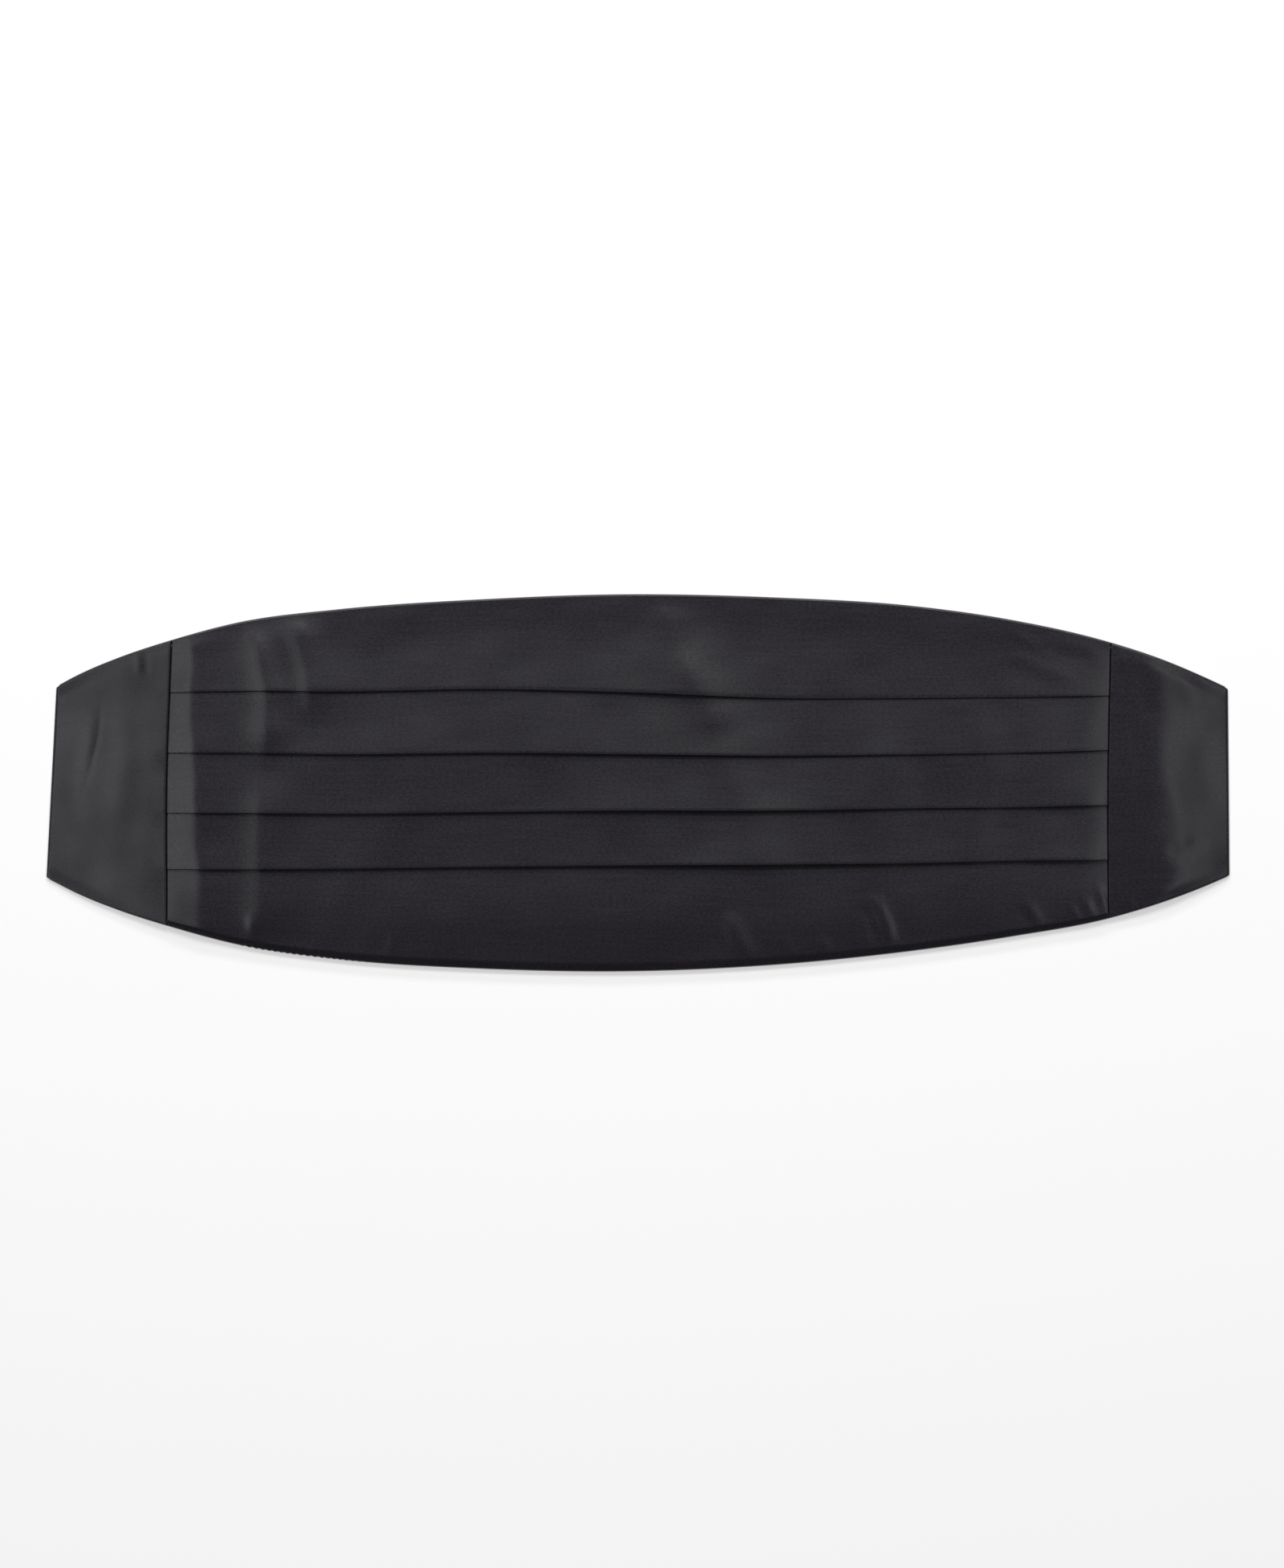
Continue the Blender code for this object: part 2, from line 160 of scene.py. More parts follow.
# %% Creases of the front
# far is the width of the other side, where it differs: the right side of a line that is drawn downwards
Crease = namedtuple("Crease", "height width line far", defaults=(None,))
FRONT_CREASES = (
    # Packing creases that run across the band, and broad waves at the middle and the right
    Crease(0.92, 11.0, ((-131.0, 58.0), (-127.5, 45.0), (-124.5, 31.0), (-124.5, 18.0), (-126.0, 2.0)), 8.0),
    Crease(0.72, 10.0, ((-126.5, 14.0), (-127.0, -8.0), (-127.0, -44.0), (-128.5, -62.0)), 12.0),
    Crease(0.20, 3.0, ((-129.5, -42.0), (-129.5, -50.0), (-132.5, -58.0))),
    Crease(0.84, 9.5, ((-119.5, 68.0), (-114.5, 50.0), (-111.0, 38.0), (-110.0, 28.0), (-110.5, 18.0)), 13.0),
    Crease(0.38, 10.0, ((6.0, 68.0), (10.0, 54.0), (15.0, 42.0), (21.0, 29.0), (27.0, 15.0)), 13.0),
    Crease(0.44, 9.0, ((12.5, 47.0), (16.5, 38.0), (22.0, 29.0), (28.0, 13.0)), 11.0),
    Crease(0.50, 12.0, ((22.0, 30.0), (29.0, 10.0), (37.0, -12.0), (43.0, -44.0)), 15.0),
    Crease(0.40, 10.0, ((84.0, 26.0), (81.0, 6.0), (78.0, -20.0), (83.0, -50.0)), 14.0),
    Crease(0.42, 9.0, ((115.0, 28.0), (117.0, 4.0), (113.0, -12.0), (111.0, -42.0)), 12.0),
    Crease(-0.12, 9.0, ((98.0, 20.0), (96.0, -6.0), (94.0, -30.0))),
    # Soft diagonal pulls towards the right seam
    Crease(0.14, 4.0, ((122.0, 45.0), (134.0, 39.0), (149.0, 34.0))),
    Crease(-0.12, 3.5, ((132.0, 48.5), (142.0, 44.0), (155.0, 40.5))),
    Crease(0.11, 3.0, ((140.0, 50.0), (149.0, 46.5), (156.0, 45.0))),
    Crease(0.10, 2.2, ((125.0, 51.5), (131.0, 47.5), (138.0, 45.5))),
    # Puckers of the upper edge
    Crease(0.14, 2.0, ((-132.5, 56.0), (-129.5, 47.0))),
    Crease(0.10, 2.0, ((-115.5, 58.0), (-112.0, 49.0))),
    Crease(0.12, 2.0, ((-92.0, 60.0), (-91.0, 53.0))),
    Crease(0.08, 2.4, ((6.0, 63.0), (9.0, 54.0))),
    Crease(0.12, 2.2, ((48.0, 63.0), (50.0, 56.0))),
    Crease(0.14, 2.0, ((139.5, 53.0), (137.0, 45.0))),
    # Puckers of the lower edge
    Crease(0.15, 1.0, ((-124.5, -52.5), (-126.5, -57.5))),
    Crease(0.15, 1.0, ((-121.5, -53.0), (-123.0, -58.0))),
    Crease(0.15, 0.9, ((-119.5, -53.5), (-120.5, -58.5))),
    Crease(0.15, 1.2, ((-108.0, -54.5), (-112.5, -60.5))),
    Crease(0.22, 3.0, ((-81.0, -50.0), (-85.5, -62.5))),
    Crease(0.10, 2.5, ((-57.0, -54.0), (-60.0, -64.0))),
    Crease(0.50, 4.8, ((29.0, -42.0), (33.5, -52.0), (40.0, -64.0))),
    Crease(-0.16, 3.5, ((24.0, -48.0), (28.0, -55.0), (31.0, -63.0))),
    Crease(0.18, 3.0, ((46.0, -50.0), (50.0, -55.0), (54.0, -62.5))),
    Crease(0.28, 2.2, ((60.0, -50.0), (63.0, -55.5), (67.0, -62.5))),
    Crease(0.26, 0.8, ((67.0, -56.0), (69.0, -61.5))),
    Crease(0.12, 1.8, ((72.0, -50.0), (76.5, -59.5))),
    Crease(0.40, 3.2, ((77.0, -36.0), (81.0, -42.0), (84.0, -49.0), (86.5, -60.0))),
    Crease(-0.20, 3.0, ((74.0, -40.0), (78.5, -46.0), (81.0, -58.0))),
    Crease(0.10, 2.4, ((95.5, -48.0), (99.0, -58.0))),
    Crease(0.24, 2.6, ((129.0, -38.0), (133.0, -44.0), (138.0, -53.5))),
    Crease(-0.12, 2.2, ((127.0, -42.0), (131.0, -46.0), (133.5, -52.0))),
    Crease(0.24, 1.8, ((145.0, -40.0), (147.0, -44.0), (150.0, -50.0))),
    Crease(0.26, 1.7, ((149.5, -38.0), (151.5, -42.0), (154.5, -48.5))),
    Crease(-0.14, 1.8, ((145.5, -39.0), (149.0, -43.5), (151.0, -48.0))),
    Crease(0.24, 1.6, ((154.0, -33.0), (156.0, -39.0), (158.5, -48.0))),
)
print(len(FRONT_CREASES), "creases on the front")


# %% Height of a set of creases
TAPER = 0.3  # the share of its length over which a crease dies away at each end
BELL, SHARPER = 2.0, 1.45  # powers of a crease's shape; the near side of one with a far side is sharper
REACH = 3  # widths, past which nothing of a crease is left


def along_line(x, y, line):
    """Distance of each point from a line of straight runs, its place along it from 0 to 1, and its side.

    For a line drawn downwards, the side is positive on the right of it."""
    line = np.array(line)
    runs = np.diff(line, axis=0)
    lengths = np.hypot(runs[:, 0], runs[:, 1])
    nearest, place, side = np.full(x.shape, np.inf), np.zeros(x.shape), np.zeros(x.shape)
    walked = 0.0
    for (start_x, start_y), run, length in zip(line, runs, lengths):
        share = ((x - start_x) * run[0] + (y - start_y) * run[1]) / length**2
        share = np.clip(share, 0.0, 1.0)
        distance = np.hypot(x - start_x - share * run[0], y - start_y - share * run[1])
        closer = distance < nearest
        nearest = np.where(closer, distance, nearest)
        place = np.where(closer, (walked + share * length) / lengths.sum(), place)
        side = np.where(closer, (x - start_x) * -run[1] + (y - start_y) * run[0], side)
        walked += length
    return nearest, place, side


def crease_height(x, y, creases):
    """Each crease is bell-shaped across its line and dies away towards the line's ends."""
    height = np.zeros(x.shape)
    for crease in creases:
        line = np.array(crease.line)
        far = crease.far or crease.width
        reach = REACH * max(crease.width, far)
        low, high = line.min(axis=0) - reach, line.max(axis=0) + reach
        near = (x > low[0]) & (x < high[0]) & (y > low[1]) & (y < high[1])
        distance, place, side = along_line(x[near], y[near], line)
        taper = smoothstep(place / TAPER) * smoothstep((1 - place) / TAPER)
        width = np.where(side > 0, far, crease.width)
        power = np.where((side <= 0) & (crease.far is not None), SHARPER, BELL)
        height[near] += crease.height * taper * np.exp(-2 * (distance / width) ** power)
    return height


# %% Unevenness that no hand placed
Waves = namedtuple("Waves", "seed height shortest longest")
WAVE_COUNT = 36


def faint_waves(x, y, waves):
    """Waves of many lengths and directions, the same on each run."""
    draw = np.random.default_rng(waves.seed)
    total = np.zeros(x.shape)
    for length, turn, phase in zip(
        draw.uniform(waves.shortest, waves.longest, WAVE_COUNT),
        draw.uniform(0, np.pi, WAVE_COUNT),
        draw.uniform(0, 2 * np.pi, WAVE_COUNT),
    ):
        total += np.cos((x * np.cos(turn) + y * np.sin(turn)) * 2 * np.pi / length + phase)
    return total * waves.height / np.sqrt(WAVE_COUNT)


print("each waviness is a sum of", WAVE_COUNT, "waves")

# %% [markdown]
# ## Node sums
#
# A material's pattern is a sum of textures, and a node tree with a Math node for every plus sign is hard
# to read. A small class wraps a socket and gives it the usual operators, so that the sum is written as
# Python and the nodes follow. Any other node comes from one method that takes its type, its settings
# and the values or links of its sockets. Geometry trees, further on, are built the same way.


# %% Sockets with operators
class Value:
    """A number socket in a node tree, with arithmetic that adds Math nodes."""

    def __init__(self, graph, socket):
        self.graph, self.socket = graph, socket

    def math(self, operation, *values):
        return self.graph.node("ShaderNodeMath", {"operation": operation}, *values)

    def __add__(self, other):
        return self.math("ADD", self, other)

    def __sub__(self, other):
        return self.math("SUBTRACT", self, other)

    def __rsub__(self, other):
        return self.math("SUBTRACT", other, self)

    def __mul__(self, other):
        return self.math("MULTIPLY", self, other)

    __radd__, __rmul__ = __add__, __mul__


class Graph:
    """A node tree, and the one way to add to it."""

    def __init__(self, tree):
        self.tree = tree

    def plug(self, socket, value):
        if isinstance(value, Value):
            self.tree.links.new(value.socket, socket)
        else:
            socket.default_value = value

    def node(self, kind, settings=(), *values, output=0, **named):
        """Adds a node. Values go to its first sockets, named ones to the socket named with _ for a space."""
        made = self.tree.nodes.new(kind)
        for key, setting in dict(settings).items():
            setattr(made, key, setting)
        for socket, value in zip(made.inputs, values):
            self.plug(socket, value)
        for name, value in named.items():
            self.plug(made.inputs[name.replace("_", " ")], value)
        return Value(self, made.outputs[output])


# %% A material as a graph
# Outputs by number, because several outputs of these nodes share a name or hold another kind of value
MIXED_COLOUR, OBJECT_PLACE, RANDOM_NUMBER = 2, 3, 1


class Finish(Graph):
    def __init__(self, name, shown):
        self.material = bpy.data.materials.new(name)
        self.material.use_nodes = True
        self.material.diffuse_color = (*shown, 1.0)
        super().__init__(self.material.node_tree)
        self.shader = self.tree.nodes["Principled BSDF"]

    def set(self, **values):
        """Values or links of the shader's own sockets."""
        for name, value in values.items():
            self.plug(self.shader.inputs[name.replace("_", " ")], value)

    def streaks(self, where, scale, detail=2.0):
        """Noise that is stretched by its scale along each axis."""
        place = self.node("ShaderNodeMapping", Vector=where, Scale=scale)
        flat = {"noise_dimensions": "2D"}
        return self.node("ShaderNodeTexNoise", flat, Vector=place, Scale=1.0, Detail=detail)

    def mix(self, factor, first, second):
        """A colour between two. Mix has inputs and outputs for numbers and vectors too."""
        mixed = self.node("ShaderNodeMix", {"data_type": "RGBA"}, factor, output=MIXED_COLOUR)
        colours = [socket for socket in mixed.socket.node.inputs if socket.type == "RGBA"]
        self.plug(colours[0], (*first, 1.0))
        self.plug(colours[1], (*second, 1.0))
        return mixed

    def bump(self, height, distance):
        return self.node("ShaderNodeBump", Height=height, Distance=distance, Strength=1.0)


# %% [markdown]
# ## Satin
#
# The face of satin is made of long floats that all run one way, here along the band. Seen close they
# are fine streaks of slightly uneven thread, and together they give the cloth its soft sheen. A
# picture of the weave would do it, but noise that is stretched along the thread has no repeat and
# stays sharp at any distance. It reads the cloth's own map, so the streaks follow the cloth through
# each fold. The lining is the same kind of cloth with a duller face.


# %% Satin finishes
# Scales of the noise along and across the thread, per metre
THREAD_SCALE = (1500.0, 3600.0, 1.0)
SLUB_SCALE = (820.0, 1600.0, 1.0)
FLOAT_SCALE = (60.0, 900.0, 1.0)
PATCH_SCALE = (22.0, 30.0, 1.0)
GRAIN_CONTRAST = 2.2  # around the grain's mean
DARK, LIGHT = 0.6, 1.4  # the range of the colour
GRAIN_GLOSS, PATCH_GLOSS = 0.16, 0.05  # how far the grain and the patches change the roughness
THREAD_RELIEF = 0.000003  # metres


def shade(colour, factor):
    return tuple(channel * factor for channel in colour)


def satin_finish(name, colour, roughness, sheen_level):
    finish = Finish(name, colour)
    cloth = finish.node("ShaderNodeUVMap", {"uv_map": "cloth"})
    thread = finish.streaks(cloth, THREAD_SCALE)
    slub = finish.streaks(cloth, SLUB_SCALE, detail=3.0)
    float_run = finish.streaks(cloth, FLOAT_SCALE)
    patch = finish.streaks(cloth, PATCH_SCALE, detail=1.0)
    grain = thread * 0.42 + slub * 0.42 + float_run * 0.16
    strong = (grain - 0.5) * GRAIN_CONTRAST + 0.5
    smoothest = roughness - (GRAIN_GLOSS + PATCH_GLOSS) / 2
    finish.set(
        Base_Color=finish.mix(strong * 0.8 + patch * 0.2, shade(colour, DARK), shade(colour, LIGHT)),
        Roughness=strong * GRAIN_GLOSS + patch * PATCH_GLOSS + smoothest,
        Specular_IOR_Level=sheen_level,
        Normal=finish.bump(grain, THREAD_RELIEF),
    )
    return finish.material


SATIN = satin_finish("black satin", (0.0253, 0.0222, 0.0296), roughness=0.28, sheen_level=0.5)
LINING = satin_finish("black lining satin", (0.0130, 0.0116, 0.0150), roughness=0.48, sheen_level=0.40)
print("finishes:", SATIN.name, "and", LINING.name)

# %% [markdown]
# ## A thin shell of cloth
#
# Cloth has two sides and a thickness, so each piece is a closed shell. A Solidify modifier makes one
# from a sheet, but it doubles every face, and the inside of a folded piece is never seen. Here the
# face is a fine grid, and the inner side is the same grid with only some of its rows and columns, moved
# in along the surface. Each edge is closed by faces that join the fine border to the coarse one.


# %% Build a shell from a grid
SHARP_ANGLE = 60.0  # degrees
TOO_SHORT = 1e-9  # a normal's length, below which it has no direction


def surface_normals(grid):
    """Unit normals of a grid of points, towards the cloth's face, and upright where two points meet."""
    normals = np.cross(np.gradient(grid, axis=0), np.gradient(grid, axis=1))
    lengths = np.linalg.norm(normals, axis=2, keepdims=True)
    return np.where(lengths > TOO_SHORT, normals / np.maximum(lengths, TOO_SHORT), (0.0, 0.0, 1.0))


def quads(ids):
    return np.stack([ids[:-1, :-1], ids[1:, :-1], ids[1:, 1:], ids[:-1, 1:]], axis=-1).reshape(-1, 4)


def border_faces(fine, coarse, places):
    """Faces between a fine row of points and the coarse row of those that were kept, at these places."""
    faces = []
    for i, (start, end) in enumerate(zip(places, places[1:])):
        faces.append([*fine[start : end + 1], coarse[i + 1], coarse[i]])
    return faces


def cloth_shell(name, grid, map_uv, thickness, steps, material):
    """A closed shell whose face is the grid, in millimetres, with the cloth's own map on it.

    The inner side keeps the first and last row and column, and one row or column in each step."""
    kept_rows, kept_columns = (
        np.unique([*range(0, count, step), count - 1]) for count, step in zip(grid.shape, steps)
    )
    coarse = (grid - thickness * surface_normals(grid))[np.ix_(kept_rows, kept_columns)]
    across = grid[:, kept_columns, 0]
    # The inner side goes neither past a seam nor below the table
    coarse[..., 0] = np.clip(coarse[..., 0], across.min(axis=0), across.max(axis=0))
    coarse[..., 2] = np.abs(coarse[..., 2])
    fine_ids = np.arange(grid.shape[0] * grid.shape[1]).reshape(grid.shape[:2])
    coarse_ids = fine_ids.size + np.arange(coarse.shape[0] * coarse.shape[1])
    coarse_ids = coarse_ids.reshape(coarse.shape[:2])
    faces = quads(fine_ids).tolist() + quads(coarse_ids)[:, ::-1].tolist()
    for row, flip in ((0, False), (-1, True)):
        for face in border_faces(fine_ids[row], coarse_ids[row], kept_columns):
            faces.append(face[::-1] if flip else face)
    for column, flip in ((0, True), (-1, False)):
        for face in border_faces(fine_ids[:, column], coarse_ids[:, column], kept_rows):
            faces.append(face[::-1] if flip else face)
    points = np.concatenate([grid.reshape(-1, 3), coarse.reshape(-1, 3)]) * MM
    mesh = bpy.data.meshes.new(name)
    mesh.from_pydata(points.tolist(), [], faces)
    coarse_map = map_uv[np.ix_(kept_rows, kept_columns)]
    place = np.concatenate([map_uv.reshape(-1, 2), coarse_map.reshape(-1, 2)])
    corners = np.empty(len(mesh.loops), np.int32)
    mesh.loops.foreach_get("vertex_index", corners)
    mesh.uv_layers.new(name="cloth").data.foreach_set("uv", (place[corners] * MM).ravel())
    mesh.materials.append(material)
    mesh.shade_smooth()
    mesh.set_sharp_from_angle(angle=np.radians(SHARP_ANGLE))
    made = bpy.data.objects.new(name, mesh)
    bpy.context.collection.objects.link(made)
    triangles = sum(len(face) - 2 for face in faces)
    print(f"{name}: {grid.shape[0]} x {grid.shape[1]} points on its face, {triangles} triangles")
    return made


# %% [markdown]
# ## How high the front lies
#
# The band is highest along its middle, where it lies over the strap, and falls to its two long edges. By
# each seam the allowances are turned under the centre piece. On the left they lift a strip about 9 mm
# wide, which slopes down to the seam, and at the right the cloth falls softly into the seam. A sculpted
# surface could look the same, but short formulas are easier to set against a photograph. These slopes are
# what the light shows: satin is dark where it is flat and bright where it leans to a lamp.

# %% Relief that the front's pieces share
CROWN, CROWN_RUN_TOP = 1.5, 58.0
CROWN_RUN_BOTTOM, SHORTER_BY, SHORTENS = 19.0, 6.0, (-20.0, 40.0)  # the lower run is shorter on the right
END_STAND, STANDS_UP = 0.85, (138.0, 158.0)  # towards both ends the lower edge stays thick
TOP_BEAD, BEAD_INSET, BEAD_WIDTH = 0.14, 4.5, 5.5  # the turned allowance inside the upper edge
DESCENT, DESCENT_FROM, DESCENT_RUN = 1.0, 32.0, 75.0  # lower and lower from the first fold on


def crown(x, y):
    below_top, above_bottom = along(EDGES, "top", x) - y, y - along(EDGES, "bottom", x)
    run_bottom = CROWN_RUN_BOTTOM - SHORTER_BY * between(x, *SHORTENS)
    stands = END_STAND * between(np.abs(x), *STANDS_UP)
    fall = 1 - (1 - stands) * (1 - smoothstep(above_bottom / run_bottom))
    across = smoothstep(below_top / CROWN_RUN_TOP) * fall
    bead = TOP_BEAD * np.exp(-(((below_top - BEAD_INSET) / BEAD_WIDTH) ** 2))
    descent = DESCENT * np.clip((DESCENT_FROM - y) / DESCENT_RUN, 0.0, 1.0)
    return (CROWN - descent) * across + bead


SEAM_ROLL, SEAM_DIP = 0.35, 0.8


def seam_dip(distance):
    """Round shoulder of the cloth where it goes down into a seam."""
    share = np.clip(1.0 - distance / SEAM_ROLL, 0.0, 1.0)
    return -SEAM_DIP * (1.0 - np.sqrt(1.0 - share**2))


# %% Relief of the centre
StripEdge = namedtuple("StripEdge", "y x")
LEFT_STRIP = (StripEdge(-49.0, -146.3), StripEdge(0.0, -148.8), StripEdge(48.0, -150.0))
STRIP_LIFT, STRIP_FALL = 1.0, 24.0
STRIP_WAVES = Waves(seed=21, height=0.35, shortest=7.0, longest=40.0)
LOW_SOFT, HIGH_SOFT, SOFTENS = 0.10, 0.16, (5.0, 45.0)  # rounding of the strip's inner border
RIGHT_FALL, RIGHT_RUN = 0.42, 10.0
EDGE_FADE, CREASE_FADE = 5.0, 9.0  # relief is weaker this near a long edge
STRIP_AT_EDGE, CREASE_AT_EDGE = 0.5, 0.2  # what is left of it on the edge
CENTRE_WAVES = Waves(seed=3, height=0.06, shortest=12.0, longest=60.0)


def centre_relief(x, y):
    from_left, from_right = x - seam("left", y), seam("right", y) - x
    strip = upright_x(LEFT_STRIP, y) - seam("left", y) + faint_waves(0 * x, y, STRIP_WAVES)
    rise = STRIP_LIFT * from_left / strip
    gone = np.clip((from_left - strip) / STRIP_FALL, -1.0, 1.0)
    fall = STRIP_LIFT * (1.0 - gone * (2.0 - gone))
    soft = LOW_SOFT + (HIGH_SOFT - LOW_SOFT) * between(y, *SOFTENS)
    height = -soft * np.logaddexp(-rise / soft, -fall / soft)
    height -= RIGHT_FALL * np.clip(1.0 - from_right / RIGHT_RUN, 0.0, 1.0) ** 2
    from_edge = edge_distance(x, y)
    inside = smoothstep(from_edge / EDGE_FADE)
    height *= faded(STRIP_AT_EDGE, inside)
    creases = crease_height(x, y, FRONT_CREASES)
    height += creases * faded(CREASE_AT_EDGE, smoothstep(from_edge / CREASE_FADE))
    height += faint_waves(x, y, CENTRE_WAVES) * inside
    return height + seam_dip(np.minimum(from_left, from_right))


print("crown:", CROWN, "mm, strip by the left seam:", STRIP_LIFT, "mm high")

# %% [markdown]
# ## The pleated centre
#
# The centre is one cloth, folded like a letter S at each pleat: down to the fold edge, back up
# underneath to a hidden fold, and down again as the next band. Cutting bands and stacking them would
# show the same lines, but a real pleat is one surface, and only that gives its soft edge and the
# shadow under it. So the piece is a path across the band, from one turned edge to the other, and a
# column of that path at every station along the seam to seam length.

# %% Sizes of the layers and folds
CLOTH = 0.24
PITCH = 0.28  # from one layer of a pleat to the next
PLEAT_DEPTH = 12.5
PLEAT_CLEAR = 5.8
RAMP_START = 8.5  # a band starts to rise this far above its hidden fold
BAND_RISE = 0.05  # each band goes on rising to its fold edge
SINK = 0.2  # the hidden fold is pressed into the cloth below it
LEAST_BAND = 0.3  # of a band lies level before its rise
FACE_LOW = 2.3
EDGE_ROLL = 0.65
UNDER_ROLL = 0.5  # the roll's lower half is this much as wide as its upper half
ROLL_MIDDLE = 0.32  # of its height, where it stands out farthest
TURNED_IN = 1.7
BENDS_UP = 1.5, 1.3  # how a band gains its slope: the first one, and the others
LAST_RISE, LAST_RUN, LAST_BEND = 1.5, 20.0, 1.3  # the last band swells below its fold
# Points on the turned edge and the roll; on a band above its rise, and on the rise; on a fold edge; on a
# hidden layer, and as many on its hidden fold; and on the last band
TURNED_POINTS, ROLL_POINTS, FLAT_POINTS, RISE_POINTS = 3, 13, 1, 24
NOSE_POINTS, HIDDEN_POINTS, LAST_POINTS = 8, 3, 31

Lift = namedtuple("Lift", "x first second third fourth")
LIFTS = (  # how far each fold edge stands off the band below
    Lift(-158.0, 0.15, 0.20, 0.20, 0.30),
    Lift(-147.0, 0.20, 0.35, 0.55, 0.65),
    Lift(-125.0, 0.50, 0.75, 1.00, 1.05),
    Lift(-95.0, 0.65, 0.90, 1.05, 0.95),
    Lift(-50.0, 0.60, 0.95, 1.05, 0.95),
    Lift(-15.0, 0.90, 1.20, 1.20, 1.05),
    Lift(15.0, 1.40, 1.50, 1.75, 1.55),
    Lift(35.0, 0.85, 1.30, 1.95, 1.85),
    Lift(60.0, 0.25, 0.90, 1.45, 1.60),
    Lift(85.0, 0.20, 0.65, 0.95, 1.15),
    Lift(120.0, 0.05, 0.25, 0.75, 1.00),
    Lift(145.0, 0.40, 0.80, 1.35, 1.50),
    Lift(154.0, 0.30, 0.70, 1.15, 1.25),
    Lift(158.0, 0.25, 0.60, 0.95, 1.00),
)


# %% The path across the band
def rolled_edge():
    """Insets from the outline and heights of the turned edge and its roll, two quarter ellipses."""
    angles = np.radians(np.linspace(-90, 90, ROLL_POINTS))
    rise = np.sin(angles)
    insets = np.where(angles < 0, EDGE_ROLL * UNDER_ROLL, EDGE_ROLL) * (1 - np.cos(angles))
    heights = FACE_LOW * (ROLL_MIDDLE + np.where(rise > 0, 1 - ROLL_MIDDLE, ROLL_MIDDLE) * rise)
    turned = np.linspace(TURNED_IN, insets[0], TURNED_POINTS + 1)[:-1]
    return np.stack([np.append(turned, insets), np.append(0 * turned, heights)], axis=1)


def centre_x(share, y):
    left, right = seam("left", y) + SEAM_GAP / 2, seam("right", y) - SEAM_GAP / 2
    return left + share * (right - left)


def crossing(rows, name, share):
    """Y where a line crosses the centre piece at a share of its length."""
    y = np.zeros_like(share)
    for _ in range(3):  # the seams aren't upright, so x and y settle each other
        y = along(rows, name, centre_x(share, y))
    return y


RIPPLE, RIPPLE_LONG = 0.14, 2.2
RIPPLE_BEGINS, RIPPLE_ENDS = (-135.0, -131.0), (-104.0, -86.0)
RIPPLE_STRAY, STRAY_TURN = 0.8, 0.31  # how uneven its spacing is, in radians, and radians per mm


def edge_ripple(x):
    """Small scallops of the lower edge, where it was sewn with a tight thread."""
    strength = between(x, *RIPPLE_BEGINS) * (1 - between(x, *RIPPLE_ENDS))
    return RIPPLE * strength * np.cos(2 * np.pi * x / RIPPLE_LONG + RIPPLE_STRAY * np.sin(x * STRAY_TURN))


# %% The folded path
def folded_path(share):
    """Points (y, z) of the cloth's face from the top edge to the bottom edge, for every share."""
    top, bottom = crossing(EDGES, "top", share), crossing(EDGES, "bottom", share)
    middle_x = centre_x(share, np.zeros_like(share))
    along_x = centre_x(share, bottom)
    high = FACE_LOW + 2 * PITCH
    nose = (PITCH + CLOTH) / 2
    inner = (PITCH - CLOTH) / 2
    ys, zs = [], []

    def put(y, z):
        ys.append(y + np.zeros_like(share))
        zs.append(z + np.zeros_like(share))

    for inset, height in rolled_edge():
        put(top - inset, height)
    start = top - EDGE_ROLL
    for name in FOLD_NAMES:
        fold = crossing(FOLDS, name, share)
        lifted = BAND_RISE + along(LIFTS, name, middle_x)
        hidden = fold + np.minimum(PLEAT_DEPTH, top - fold - PLEAT_CLEAR)
        first = name == "first"
        ramp_start = start - LEAST_BAND
        if not first:
            ramp_start = np.minimum(hidden + RAMP_START, ramp_start)
        for t in np.linspace(0, 1, FLAT_POINTS + 2)[1:-1]:
            put(start + t * (ramp_start - start), FACE_LOW)
        turn_y = fold + nose
        bend = BENDS_UP[0 if first else 1]
        for t in np.linspace(0, 1, RISE_POINTS):
            y = ramp_start + t * (turn_y - ramp_start)
            put(y, FACE_LOW + (2 * PITCH + lifted) * t**bend)
        for angle in np.radians(np.linspace(90, 270, NOSE_POINTS + 1))[1:]:
            put(turn_y + nose * np.cos(angle), high + lifted - nose + nose * np.sin(angle))
        under = high - 2 * nose
        for t in np.linspace(0, 1, HIDDEN_POINTS + 1)[1:]:
            settled = under + t * (FACE_LOW - SINK + PITCH - CLOTH - under)
            put(turn_y + t * (hidden - turn_y), settled + lifted * (1 - t) ** 2)
        for angle in np.radians(np.linspace(90, -90, HIDDEN_POINTS + 1))[1:]:
            put(hidden + inner * np.cos(angle), FACE_LOW - SINK + inner + inner * np.sin(angle))
        start = hidden
    last = bottom + EDGE_ROLL
    for t in np.linspace(0, 1, LAST_POINTS + 2)[1:-1]:
        y = start + t * (last - start)
        below = np.clip((start - PLEAT_DEPTH - y) / LAST_RUN, 0.0, 1.0)
        put(y, FACE_LOW + LAST_RISE * below**LAST_BEND * (2.0 - below) * (y > last))
    for inset, height in rolled_edge()[::-1]:
        put(bottom + inset + edge_ripple(along_x), height)
    return np.stack(ys, axis=1), np.stack(zs, axis=1)


# %% Stations along the centre
FIRST, LAST = -158.15, 158.05
AT_SEAM = np.array([0.0, 0.07, 0.15, 0.25, 0.4])  # close stations for the round shoulder
Span = namedtuple("Span", "start end steps")
SPANS = (Span(-157.5, -136.0, 32), Span(-136.0, -82.0, 99), Span(-82.0, 157.3, 264))  # finest at the scallops
stations = np.concatenate([
    FIRST + AT_SEAM,
    [SPANS[0].start],
    *(np.linspace(span.start, span.end, span.steps + 1)[1:] for span in SPANS),
    LAST - AT_SEAM[::-1],
])
print(len(stations), "stations from seam to seam")

